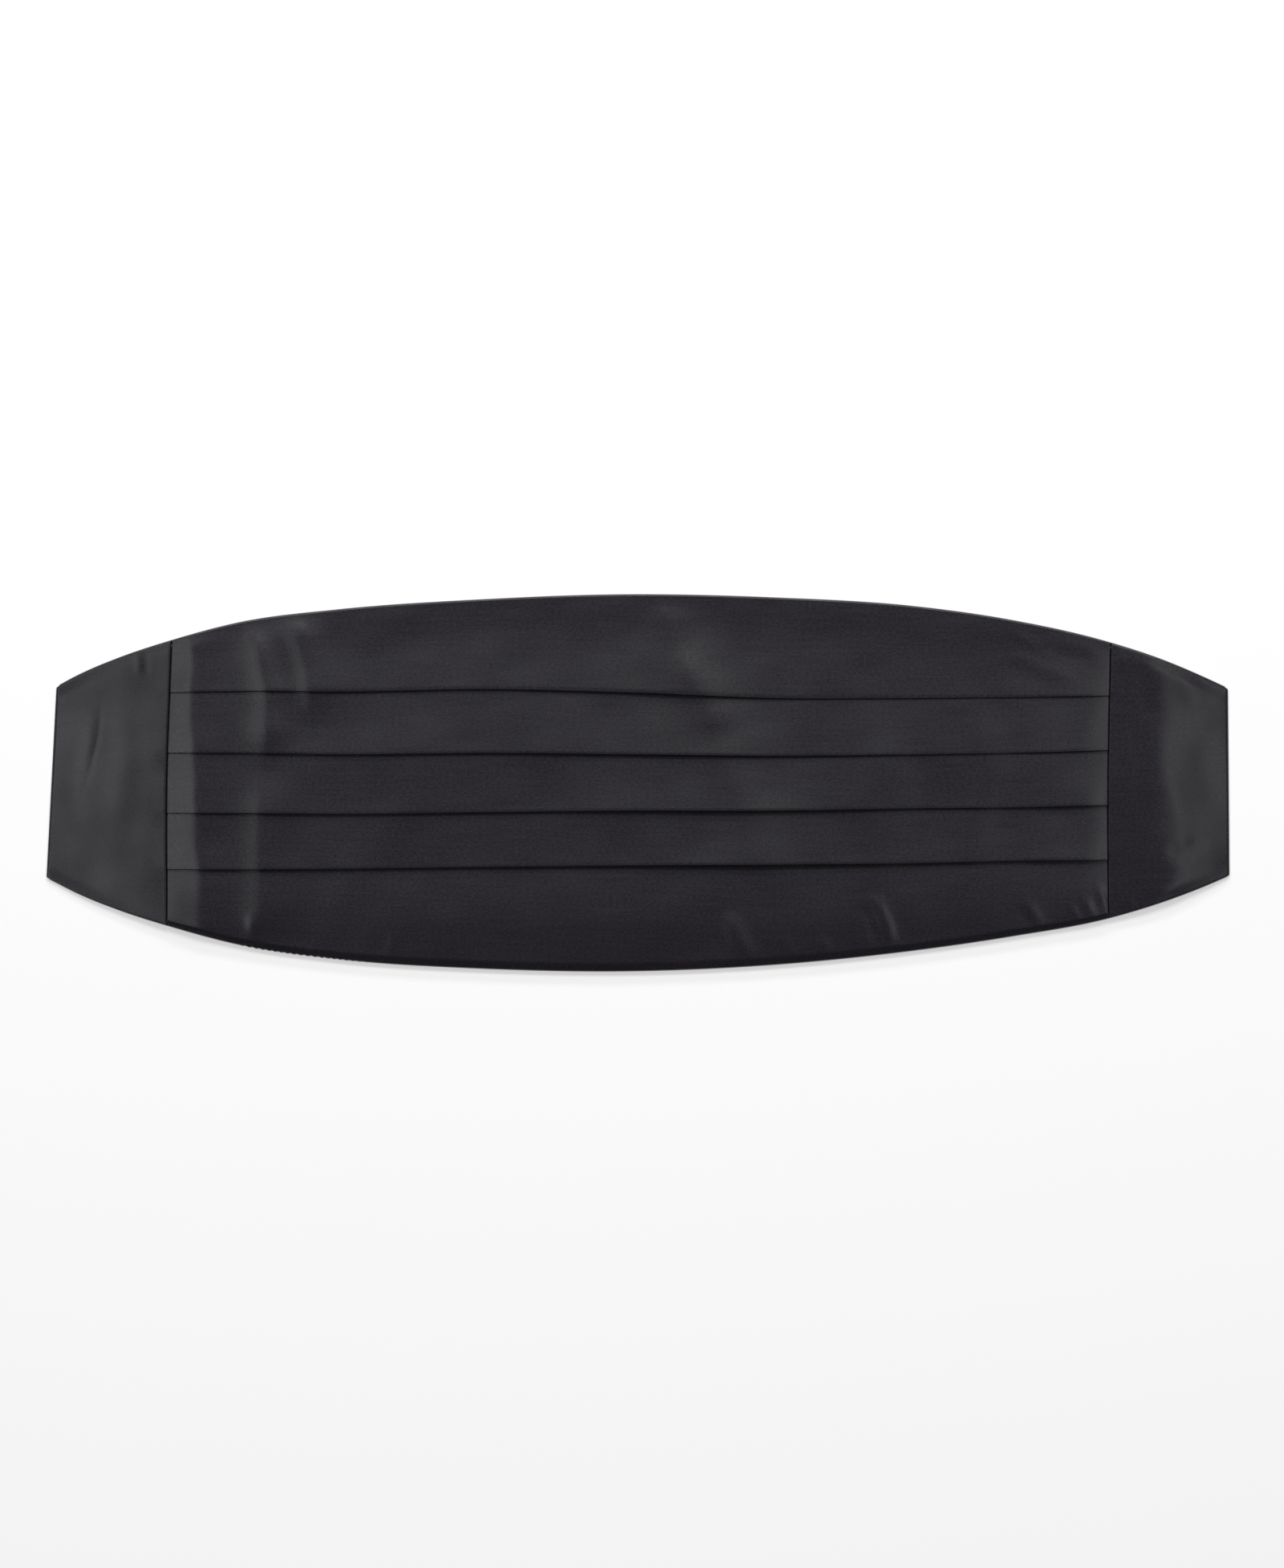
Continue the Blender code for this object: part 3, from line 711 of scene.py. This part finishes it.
# %% Make the centre
shares = (stations - stations[0]) / (stations[-1] - stations[0])
path_y, path_z = folded_path(shares)
centre_xs = centre_x(shares[:, None], path_y)
on_top = smoothstep(path_z / FACE_LOW)
centre_z = path_z + on_top * (crown(centre_xs, path_y) + centre_relief(centre_xs, path_y))
centre_grid = np.stack([centre_xs, path_y, centre_z], axis=-1)
walked = np.concatenate(
    [np.zeros((len(shares), 1)), np.cumsum(np.hypot(np.diff(path_y), np.diff(path_z)), axis=1)], axis=1
)
grain_line = len(rolled_edge()) + FLAT_POINTS + RISE_POINTS  # the first fold lies on the straight grain
centre_map = np.stack([centre_xs, walked - walked[:, [grain_line]]], axis=-1)
centre = cloth_shell(
    "centre_cloth", centre_grid[:, ::-1], centre_map[:, ::-1], CLOTH, steps=(4, 3), material=SATIN
)
print("longest way across the pleats:", round(float(walked[:, -1].max()), 1), "mm")
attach(centre, "root")
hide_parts("centre_front")

# %% [markdown]
# ## The two end pieces
#
# Each end of the front is a plain piece, sewn to the pleated centre along an upright seam and rolled
# over its other three edges. A flat panel with a Bevel modifier would have such edges, but not the creases
# and the faint print of the pleats beside it. So its cloth is a grid as well, whose rows and columns both
# end in the same rolled edge, and at the corners the lower of the two rolls holds. The left piece leans to
# the left all over. The right one rises a little as far as a soft bend, and leans to the right beyond it.

# %% Relief of the end pieces
END_CREASES = (
    Crease(-0.045, 1.3, ((-180.4, 30.0), (-181.2, 17.0), (-183.2, 8.0), (-187.0, -5.0))),
    Crease(0.04, 2.2, ((-183.5, 24.0), (-184.5, 14.0), (-187.5, 3.0))),
    Crease(0.07, 1.8, ((-168.6, 46.5), (-167.4, 35.5))),
    Crease(-0.05, 1.9, ((-165.8, 45.5), (-165.0, 35.5))),
    Crease(0.06, 6.0, ((-176.0, 34.0), (-172.0, 8.0), (-176.0, -20.0))),
    Crease(-0.05, 5.0, ((-188.0, 20.0), (-190.0, -4.0), (-186.0, -22.0))),
    Crease(0.16, 6.0, ((177.0, 46.0), (184.0, 36.0), (189.0, 24.0), (188.0, 8.0))),
    Crease(-0.12, 7.0, ((186.0, 30.0), (190.0, 12.0), (193.0, 0.0), (193.0, -16.0))),
    Crease(0.13, 6.0, ((176.0, 10.0), (180.0, -4.0), (183.0, -18.0), (188.0, -30.0))),
    Crease(-0.20, 4.5, ((176.0, -22.0), (183.0, -24.0), (191.0, -18.0))),
    Crease(-0.12, 4.0, ((168.0, 44.0), (170.0, 32.0), (172.0, 20.0))),
    Crease(0.34, 16.0, ((166.0, 39.0), (180.0, 34.0), (192.0, 29.0), (206.0, 22.0)), 7.0),
    Crease(0.50, 10.0, ((170.0, -45.0), (186.0, -38.5), (205.0, -30.0))),
    Crease(0.10, 4.0, ((162.5, 22.0), (165.0, 5.0), (163.5, -14.0))),
    Crease(0.12, 1.4, ((163.0, 46.5), (162.5, 39.0))),
    Crease(0.10, 1.4, ((166.0, -44.0), (165.0, -36.5))),
)
END_WAVES = Waves(seed=7, height=0.045, shortest=11.0, longest=50.0)
TILT_AT_EDGE, END_CREASE_AT_EDGE = 0.75, 0.35  # what is left of them on a long edge
END_LONG = 40.0
LEFT_LEAN, LEFT_TILT = 0.8, 1.9
LEFT_THINNER, RIGHT_THINNER = 0.6, 0.7  # how much lower an end's edge is than its seam, besides the lean
Bend = namedtuple("Bend", "y x soft")
BENDS = (  # where the right end bends down, and over what length
    Bend(-48.0, 171.5, 1.5),
    Bend(-40.0, 174.0, 1.5),
    Bend(-35.0, 177.5, 1.8),
    Bend(-29.0, 181.5, 2.4),
    Bend(-24.0, 180.0, 2.6),
    Bend(-17.0, 176.5, 2.0),
    Bend(-6.0, 175.5, 1.8),
    Bend(5.0, 174.8, 1.8),
    Bend(15.0, 175.2, 2.0),
    Bend(25.0, 176.5, 2.6),
    Bend(34.0, 174.5, 2.8),
    Bend(46.0, 169.5, 2.8),
)
BEND_RISE, RIGHT_TILT = 1.05, 1.8
STACK_PRINT = 0.12 * 2 * PITCH  # how much of a pleat's two hidden layers shows through
PRINT_FADE = 5.0
PRINT_BEGINS, PRINT_ENDS = (0.0, 1.4), (11.0, 18.0)  # above each fold


def stack_beside(side, y):
    """How much of the centre's stack of pleats lies beside the end piece at y, from 0 to 1."""
    x = seam(side, y)
    share = np.zeros_like(y)
    for name in FOLD_NAMES:
        above = y - along(FOLDS, name, x)
        share += between(above, *PRINT_BEGINS) * (1 - between(above, *PRINT_ENDS))
    return share


def end_relief(side, x, y):
    out = -1 if side == "left" else 1
    away = out * (x - seam(side, y)) - SEAM_GAP / 2
    inside = smoothstep(edge_distance(x, y) / EDGE_FADE)
    margin = faded(TILT_AT_EDGE, inside)
    if side == "left":
        fall = away / END_LONG
        lean = -LEFT_THINNER * fall + margin * (LEFT_LEAN - LEFT_TILT * fall)
    else:
        bend = upright_x(BENDS, y) - seam(side, y)
        soft = np.interp(y, [row.y for row in BENDS], [row.soft for row in BENDS])
        beyond = np.logaddexp(0, (away - bend) / soft) * soft
        past = beyond / (END_LONG - bend)
        lean = margin * (BEND_RISE * (away - beyond) / bend - RIGHT_TILT * past) - RIGHT_THINNER * past
    height = STACK_PRINT * (stack_beside(side, y) - 0.5) * (1 - smoothstep(away / PRINT_FADE)) * inside
    height += crease_height(x, y, END_CREASES) * faded(END_CREASE_AT_EDGE, inside)
    height += faint_waves(x, y, END_WAVES) * inside
    return crown(x, y) + height + lean + seam_dip(away)


# %% Grid of an end piece
CORNER_RADIUS = {"bottom": 0.8, "top": 1.0}
END_FACE, END_ROWS, END_COLUMNS = 39.0, 148, 72  # about the length of the face, and its even points
END_AT_SEAM = np.append(AT_SEAM, 0.8)
HALF_DEEP = 40.0  # a first guess, from which x and y settle each other


def rounded_corners(grid, side):
    """Rounds the two corners of an end, by pulling the square at each corner into a circle."""
    for end, (level, radius) in zip(ENDS, CORNER_RADIUS.items()):
        corner_x = getattr(end, side)
        corner_y = along(EDGES, level, corner_x)
        out_x, out_y = np.sign(corner_x), np.sign(corner_y)
        middle_x, middle_y = corner_x - out_x * radius, corner_y - out_y * radius
        u = (grid[..., 0] - middle_x) * out_x / radius
        v = (grid[..., 1] - middle_y) * out_y / radius
        inside = (u > 0) & (v > 0)
        u, v = np.clip(u, 0, 1), np.clip(v, 0, 1)
        pulled_x = middle_x + out_x * radius * u * np.sqrt(1 - v * v / 2)
        pulled_y = middle_y + out_y * radius * v * np.sqrt(1 - u * u / 2)
        grid[..., 0] = np.where(inside, pulled_x, grid[..., 0])
        grid[..., 1] = np.where(inside, pulled_y, grid[..., 1])


def end_grid(side):
    """Columns go from the seam to the end, and rows from the lower edge to the upper one."""
    out = -1 if side == "left" else 1
    places = np.append(END_AT_SEAM, np.linspace(END_AT_SEAM[-1], END_FACE, END_COLUMNS + 2)[1:-1])
    columns = [(place / END_FACE, EDGE_ROLL, FACE_LOW) for place in places]
    columns += [(1.0, *point) for point in rolled_edge()[::-1]]
    rows = [(0.0, *point) for point in rolled_edge()]
    rows += [(share, EDGE_ROLL, FACE_LOW) for share in np.linspace(0, 1, END_ROWS + 2)[1:-1]]
    rows += [(1.0, *point) for point in rolled_edge()[::-1]]
    level, margin, row_height = np.array(rows).T
    grid = np.empty((len(columns), len(rows), 3))
    for i, (share, inset, column_height) in enumerate(columns):
        y = (2 * level - 1) * HALF_DEEP
        for _ in range(4):
            seam_x = seam(side, y) + out * SEAM_GAP / 2
            x = seam_x + share * (end_edge(side, y) - out * inset - seam_x)
            bottom, top = along(EDGES, "bottom", x), along(EDGES, "top", x)
            y = bottom + margin + level * (top - bottom - 2 * margin)
        height = np.minimum(row_height, column_height)
        on_top = smoothstep(height / FACE_LOW)
        grid[i] = np.stack([x, y, height + on_top * end_relief(side, x, y)], axis=-1)
    rounded_corners(grid, side)
    return grid


# %% Make the end pieces
for side in ("left", "right"):
    grid = end_grid(side)
    if side == "left":
        grid = grid[::-1]  # so that its face looks up too
    piece = cloth_shell(f"end_cloth_{side}", grid, grid[..., :2], CLOTH, steps=(3, 3), material=SATIN)
    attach(piece, "root")
    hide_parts(f"end_panel_{side}")

# %% [markdown]
# ## The lining
#
# The back of the band is one flat piece, sewn to the front all round and turned out, so that its edge
# lies a little inside the front's rolled edge. It shows only from underneath. It rises over the strap,
# and pulls a little towards the places where the strap is sewn on. A cloth simulation would find such
# pulls by itself, but it gives another shape whenever a setting changes, so they are creases too.

# %% Sizes and creases of the lining
LINING_INSET, LINING_THICK = 1.9, 0.2
LINING_LOW = 0.04  # from the table to its lowest part
TUCK, TUCK_RUN = 0.15, 1.6  # its edge is tucked up into the front
OVER_STRAP, RISE_ACROSS, RISE_ALONG = 1.22, 18.0, 15.5
RELIEF_FADE = 6.0
SWELL_ON_STRAP, SWELL_BESIDE, STRAP_CLEAR = 0.02, 0.08, (13.5, 19.5)  # it is flat where it lies on the strap
LINING_WAVES = Waves(seed=11, height=0.05, shortest=14.0, longest=60.0)
LINING_COLUMNS, LINING_ROWS, LINING_HALF_DEEP = 340, 130, 50.0  # the last is a first guess, as above
LINING_CREASES = (
    Crease(0.25, 6.0, ((-128.0, 52.0), (-129.0, 20.0), (-127.5, -10.0), (-128.5, -52.0))),
    Crease(-0.18, 5.0, ((-118.0, 55.0), (-117.0, 10.0), (-119.0, -40.0))),
    Crease(0.25, 6.0, ((16.0, 60.0), (18.0, 25.0), (15.5, -15.0), (17.0, -60.0))),
    Crease(-0.15, 6.0, ((27.0, 58.0), (25.0, 15.0), (28.0, -50.0))),
    Crease(0.18, 3.5, ((-175.0, 15.0), (-158.0, 25.0), (-140.0, 32.0))),
    Crease(0.18, 3.5, ((-175.0, -15.0), (-156.0, -24.0), (-138.0, -29.0))),
    Crease(0.20, 3.5, ((174.0, 15.0), (158.0, 26.0), (141.0, 30.0))),
    Crease(0.16, 3.5, ((174.0, -15.0), (160.0, -23.0), (144.0, -31.0))),
    Crease(0.14, 3.0, ((60.0, 45.0), (85.0, 38.0), (110.0, 40.0))),
    Crease(0.14, 3.0, ((-70.0, -45.0), (-45.0, -38.0), (-20.0, -42.0))),
    Crease(0.16, 2.0, ((-60.0, -60.0), (-57.0, -50.0))),
    Crease(0.16, 2.0, ((84.0, -56.0), (80.0, -47.0))),
    Crease(0.16, 2.2, ((36.0, -60.0), (33.0, -50.0))),
    Crease(0.14, 2.0, ((-104.0, 57.0), (-100.0, 48.0))),
    Crease(0.14, 2.0, ((118.0, 54.0), (114.0, 46.0))),
)
print(len(LINING_CREASES), "creases on the lining")


# %% Make the lining
def lining_height(x, y, from_edge, from_end):
    over_strap = smoothstep((from_edge + LINING_INSET) / RISE_ACROSS)
    over_strap *= smoothstep((from_end + LINING_INSET) / RISE_ALONG)
    tucked = TUCK * (1 - smoothstep(np.minimum(from_edge, from_end) / TUCK_RUN))
    inside = smoothstep(from_edge / RELIEF_FADE) * smoothstep(from_end / RELIEF_FADE)
    relief = crease_height(x, y, LINING_CREASES) + faint_waves(x, y, LINING_WAVES)
    swell = SWELL_ON_STRAP + (SWELL_BESIDE + relief) * between(np.abs(y), *STRAP_CLEAR)
    return LINING_LOW + tucked + OVER_STRAP * over_strap + inside * swell


def lining_grid():
    share_x, share_y = np.linspace(0, 1, LINING_COLUMNS)[:, None], np.linspace(0, 1, LINING_ROWS)
    y = (share_y * 2 - 1) * LINING_HALF_DEEP + 0 * share_x
    for _ in range(5):
        left, right = end_edge("left", y) + LINING_INSET, end_edge("right", y) - LINING_INSET
        x = left + share_x * (right - left)
        low, high = along(EDGES, "bottom", x) + LINING_INSET, along(EDGES, "top", x) - LINING_INSET
        y = low + share_y * (high - low)
    z = lining_height(x, y, np.minimum(y - low, high - y), np.minimum(x - left, right - x))
    return np.stack([x, y, z], axis=-1)


grid = lining_grid()[:, ::-1]  # rows run from the top edge down, so the face looks down
lining = cloth_shell("lining", grid, grid[..., :2], LINING_THICK, steps=(4, 4), material=LINING)
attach(lining, "root")
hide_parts("back_panel")

# %% [markdown]
# ## Patterns that repeat
#
# Ribs and stitches are one small shape made many times, which is what Geometry Nodes are for. The class
# below builds such a tree: its sizes are named inputs, and it ends by making the copies real and
# giving them their material. It is run once on a small carrier, and the result is kept as a plain mesh.


# %% A geometry tree that is run once
class Pattern(Graph):
    def __init__(self, name, sizes):
        super().__init__(bpy.data.node_groups.new(name, "GeometryNodeTree"))
        face = self.tree.interface
        face.new_socket("Geometry", in_out="INPUT", socket_type="NodeSocketGeometry")
        face.new_socket("Geometry", in_out="OUTPUT", socket_type="NodeSocketGeometry")
        self.keys = {key: face.new_socket(key, socket_type="NodeSocketFloat").identifier for key in sizes}
        self.sizes = sizes
        self.entry = self.tree.nodes.new("NodeGroupInput")
        self.leave = self.tree.nodes.new("NodeGroupOutput")

    def size(self, name):
        return Value(self, self.entry.outputs[name])

    def carrier(self):
        return Value(self, self.entry.outputs["Geometry"])

    def close(self, geometry, material):
        real = self.node("GeometryNodeRealizeInstances", (), geometry)
        finished = self.node("GeometryNodeSetMaterial", Geometry=real, Material=material)
        self.plug(self.leave.inputs[0], finished)

    def run(self, name, points=(), edges=()):
        """Runs the tree on a carrier of points and edges, and returns the result as a plain object."""
        mesh = bpy.data.meshes.new(name)
        mesh.from_pydata([[c * MM for c in point] for point in points], edges, [])
        made = bpy.data.objects.new(name, mesh)
        bpy.context.collection.objects.link(made)
        pattern = made.modifiers.new("pattern", "NODES")
        pattern.node_group = self.tree
        for key, value in self.sizes.items():
            pattern[self.keys[key]] = value
        evaluated = made.evaluated_get(bpy.context.evaluated_depsgraph_get())
        result = bpy.data.meshes.new_from_object(evaluated)
        made.modifiers.clear()
        made.data = result
        made.data.name = name
        triangles = sum(len(face.vertices) - 2 for face in result.polygons)
        print(f"{name}: {triangles} triangles, {[round(v * 1000, 2) for v in made.dimensions]} mm")
        return made


# %% [markdown]
# ## The strap
#
# A band of woven elastic goes round the waist. Here it lies flat under the lining, sewn on near both
# ends. Woven elastic shows fine ribs along its length, over the rubber threads. A bump texture could
# draw them, but it leaves the mesh smooth. The tree draws the strap's section as a rounded rectangle
# with a wave on its broad sides, and sweeps it along a line.

# %% Elastic finish
elastic = Finish("black elastic", (0.016, 0.015, 0.017))
spot = elastic.node("ShaderNodeTexCoord", output=OBJECT_PLACE)
weft = elastic.node(
    "ShaderNodeTexWave", {"wave_type": "BANDS", "bands_direction": "X", "wave_profile": "SIN"},
    Vector=spot, Scale=260.0, Distortion=0.6, Detail=1.0, Detail_Scale=2.0,
)
fuzz = elastic.streaks(spot, (900.0, 2200.0, 900.0), detail=3.0)
wear = elastic.streaks(spot, (30.0, 110.0, 40.0))
pick = weft * 0.5 + fuzz * 0.5
elastic.set(
    Base_Color=elastic.mix(pick * 0.6 + wear * 0.4, (0.008, 0.0075, 0.009), (0.030, 0.028, 0.031)),
    Roughness=pick * 0.15 + 0.62,
    Specular_IOR_Level=0.35,
    Normal=elastic.bump(pick, distance=0.00012),
)

# %% Ribbed webbing
STRAP_LONG, STRAP_WIDE, STRAP_THICK = 366.2, 25.0, 1.2
RIBS, RIB_DEPTH = 22.0, 0.16
EDGE_ROUND = 0.42  # radius of the strap's edges, as a share of its thickness
STRAP_SHARP = 50.0  # degrees
webbing = Pattern("ribbed webbing", {
    "Length": STRAP_LONG * MM,
    "Width": STRAP_WIDE * MM,
    "Thickness": STRAP_THICK * MM,
    "Rib Count": RIBS,
    "Rib Depth": RIB_DEPTH * MM,
})
half_long = webbing.size("Length") * 0.5
middle_z = webbing.size("Thickness") * 0.5
line_start = webbing.node("ShaderNodeCombineXYZ", (), half_long * -1.0, 0.0, middle_z)
line_end = webbing.node("ShaderNodeCombineXYZ", (), half_long, 0.0, middle_z)
line = webbing.node("GeometryNodeCurvePrimitiveLine", {"mode": "POINTS"}, line_start, line_end)
line = webbing.node("GeometryNodeResampleCurve", Curve=line, Count=48)
section = webbing.node(
    "GeometryNodeCurvePrimitiveQuadrilateral", Width=webbing.size("Width"), Height=webbing.size("Thickness")
)
radius = webbing.size("Thickness") * EDGE_ROUND
section = webbing.node("GeometryNodeFilletCurve", {"mode": "POLY"}, Curve=section, Count=4, Radius=radius)
section = webbing.node("GeometryNodeResampleCurve", Curve=section, Count=420)
place = webbing.node("GeometryNodeInputPosition")
across, up = (webbing.node("ShaderNodeSeparateXYZ", (), place, output=axis) for axis in (0, 1))
turns = across.math("DIVIDE", across, webbing.size("Width")) * webbing.size("Rib Count")
angle = turns * (2 * np.pi)
wave = angle.math("COSINE", angle) + 1.0
groove = wave * webbing.size("Rib Depth") * -0.5 * up.math("SIGN", up)
offset = webbing.node("ShaderNodeCombineXYZ", (), 0.0, groove, 0.0)
section = webbing.node("GeometryNodeSetPosition", Geometry=section, Offset=offset)
swept = webbing.node("GeometryNodeCurveToMesh", Curve=line, Profile_Curve=section, Fill_Caps=True)
webbing.close(swept, elastic.material)
strap = webbing.run("elastic_strap")
strap.data.shade_smooth()
strap.data.set_sharp_from_angle(angle=np.radians(STRAP_SHARP))
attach(strap, "root")
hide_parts("back_strap")

# %% [markdown]
# ## Stitches
#
# The strap is held by a sewn box with a cross at each end, and the lining by a row of small stitches
# just inside its edge. An array modifier would lay stitches that are all alike. Each row is a line of
# edges instead, and the tree lays one stitch at each step of it, turned along the line and a little
# uneven, as thread is.

# %% Thread finish
thread = Finish("black thread", (0.02, 0.019, 0.021))
spot = thread.node("ShaderNodeTexCoord", output=OBJECT_PLACE)
twist = thread.streaks(spot, (2600.0, 2600.0, 2600.0))
thread.set(
    Base_Color=thread.mix(twist, (0.012, 0.011, 0.013), (0.045, 0.042, 0.046)),
    Roughness=twist * 0.2 + 0.4,
    Normal=thread.bump(twist, distance=0.00004),
)

# %% Stitch rows
UNEVEN = {"Min": 0.88, "Max": 1.1, "Seed": 5}  # how much of its size each stitch has, and the fixed seed


def stitching(**sizes):
    """A tree that lays stitches of one size, all in millimetres, along the carrier's edges."""
    rows = Pattern("stitch row", {name.capitalize(): size * MM for name, size in sizes.items()})
    curve = rows.node("GeometryNodeMeshToCurve", Mesh=rows.carrier())
    pitch = rows.size("Pitch")
    curve = rows.node("GeometryNodeResampleCurve", {"mode": "LENGTH"}, Curve=curve, Length=pitch)
    stitch = rows.node("GeometryNodeMeshUVSphere", Segments=8, Rings=5, Radius=0.5)
    tangent = rows.node("GeometryNodeInputTangent")
    turned = rows.node("FunctionNodeAlignRotationToVector", {"axis": "X"}, Vector=tangent)
    uneven = rows.node("FunctionNodeRandomValue", {"data_type": "FLOAT"}, output=RANDOM_NUMBER)
    for socket in uneven.socket.node.inputs:
        if socket.name in UNEVEN and (socket.type == "VALUE" or socket.name == "Seed"):
            socket.default_value = UNEVEN[socket.name]
    long, wide, high = uneven * rows.size("Length"), uneven * rows.size("Width"), rows.size("Height")
    scale = rows.node("ShaderNodeCombineXYZ", (), long, wide, high)
    laid = rows.node(
        "GeometryNodeInstanceOnPoints", Points=curve, Instance=stitch, Rotation=turned, Scale=scale
    )
    rows.close(laid, thread.material)
    return rows


def chain(lines):
    """Points and edges of several open lines, as one carrier."""
    points, edges = [], []
    for row in lines:
        edges += [(len(points) + i, len(points) + i + 1) for i in range(len(row) - 1)]
        points += row
    return points, edges


# %% Boxes that hold the strap
BOX_IN, BOX_LONG, BOX_HALF, BOX_Z = 4.0, 20.0, 9.8, 0.06
ROW_CLEAR = 1.3  # at both ends of a row, so that no two rows share a hole
boxes = []
for way in (-1, 1):
    outer = way * (STRAP_LONG / 2 - BOX_IN)
    inner = outer - way * BOX_LONG
    places = ((outer, -BOX_HALF), (outer, BOX_HALF), (inner, BOX_HALF), (inner, -BOX_HALF))
    corners = [Vector((x, y, BOX_Z)) for x, y in places]
    for i, j in ((0, 1), (1, 2), (2, 3), (3, 0), (0, 2), (1, 3)):  # four sides and the cross
        start, end = corners[i], corners[j]
        clear = (end - start).normalized() * ROW_CLEAR
        boxes.append([tuple(start + clear), tuple(end - clear)])
box_rows = stitching(pitch=2.6, length=2.2, width=0.5, height=0.34)
box_stitches = box_rows.run("strap_stitches", *chain(boxes))
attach(box_stitches, "root")

# %% Row inside the lining's edge
ROW_IN = 3  # rows and columns of the lining's grid that lie outside the stitches
face_rows = grid[ROW_IN:-ROW_IN, ROW_IN:-ROW_IN]
ring = [face_rows[1:-1, 0], face_rows[-1, 1:-1], face_rows[-2:0:-1, -1], face_rows[0, -2:0:-1]]
edge_rows = stitching(pitch=2.6, length=1.9, width=0.34, height=0.26)
edge_row = edge_rows.run("edge_stitches", *chain([side.tolist() for side in ring]))
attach(edge_row, "root")

# %% How deep the lining is, at points along the band
outline_xs = np.linspace(EDGES[0].x, EDGES[-1].x, 400)
depth = along(EDGES, "top", outline_xs) - along(EDGES, "bottom", outline_xs) - 2 * LINING_INSET

# %% [markdown]
# ## Floor, lamps and camera
#
# The band lies on a pale table that is bright enough to read as white paper. The table glows a little by
# itself, because lamps strong enough to whiten it would wash out the black cloth.
#
# Black satin shows its lamps more than its colour. It is dark wherever no lamp is mirrored in it, so each
# lamp is a long softbox that stands for one way the cloth can lean: a low and a higher one beyond the
# upper edge light the rising bands and the fold edges, a weak one overhead fills the level parts, and a
# small one at each side lights the strips by the seams and the end pieces. A single big lamp would be
# simpler, but it lights every lean alike and the pleats go flat.
#
# The camera hangs straight above with a long lens, as for a catalogue picture, so the band keeps its
# outline and its even scale from end to end.

# %% Floor
TABLE_SIZE, TABLE_Z = 8.0, -0.0002  # metres
table_finish = Finish("pale table", (0.9, 0.9, 0.9))
table_finish.set(Base_Color=(0.84, 0.84, 0.84, 1.0), Roughness=0.9, Specular_IOR_Level=0.1)
table_finish.set(Emission_Color=(1.0, 1.0, 1.0, 1.0), Emission_Strength=0.50)
bpy.ops.mesh.primitive_plane_add(size=TABLE_SIZE, location=(0, 0, TABLE_Z))
floor = bpy.context.object
floor.name = "pale_table"
floor.data.materials.append(table_finish.material)

# %% Lamps
Lamp = namedtuple("Lamp", "name place size power")
LAMPS = (  # place and size in metres, and power in watts; each faces the garment's middle
    Lamp("low softbox", (0.0, 1.57, 0.98), (1.6, 0.25), 8.7),
    Lamp("high softbox", (0.0, 1.11, 1.48), (1.6, 0.45), 14.8),
    Lamp("overhead softbox", (0.0, 0.54, 1.77), (1.6, 0.25), 0.55),
    Lamp("left softbox", (-0.70, 0.0, 1.44), (1.0, 0.16), 1.9),
    Lamp("right softbox", (0.68, 0.0, 1.45), (1.0, 0.20), 1.25),
)
for lamp in LAMPS:
    light = bpy.data.lights.new(lamp.name, "AREA")
    light.shape, light.energy = "RECTANGLE", lamp.power
    light.size, light.size_y = lamp.size
    holder = bpy.data.objects.new(lamp.name, light)
    holder.location = lamp.place
    holder.rotation_euler = Vector(lamp.place).to_track_quat("Z", "Y").to_euler()
    bpy.context.collection.objects.link(holder)

world = bpy.data.worlds.new("studio")
world.use_nodes = True
background = world.node_tree.nodes["Background"].inputs
background["Color"].default_value = (1.0, 1.0, 1.0, 1.0)
background["Strength"].default_value = 0.03
bpy.context.scene.world = world
print(len(LAMPS), "lamps,", sum(lamp.power for lamp in LAMPS), "watts in all")

# %% Camera
LENS, SENSOR = 100.0, 36.0
PICTURE_MIDDLE = (0.00135, -0.00039)  # metres
PICTURE_HIGH = 0.52787  # metres on the table, from the picture's upper to its lower edge
camera = bpy.data.objects.new("camera", bpy.data.cameras.new("camera"))
camera.data.lens = LENS
camera.data.sensor_width = SENSOR
camera.location = (*PICTURE_MIDDLE, LENS / SENSOR * PICTURE_HIGH)
bpy.context.collection.objects.link(camera)
bpy.context.scene.camera = camera
bpy.context.scene.view_settings.view_transform = "Standard"
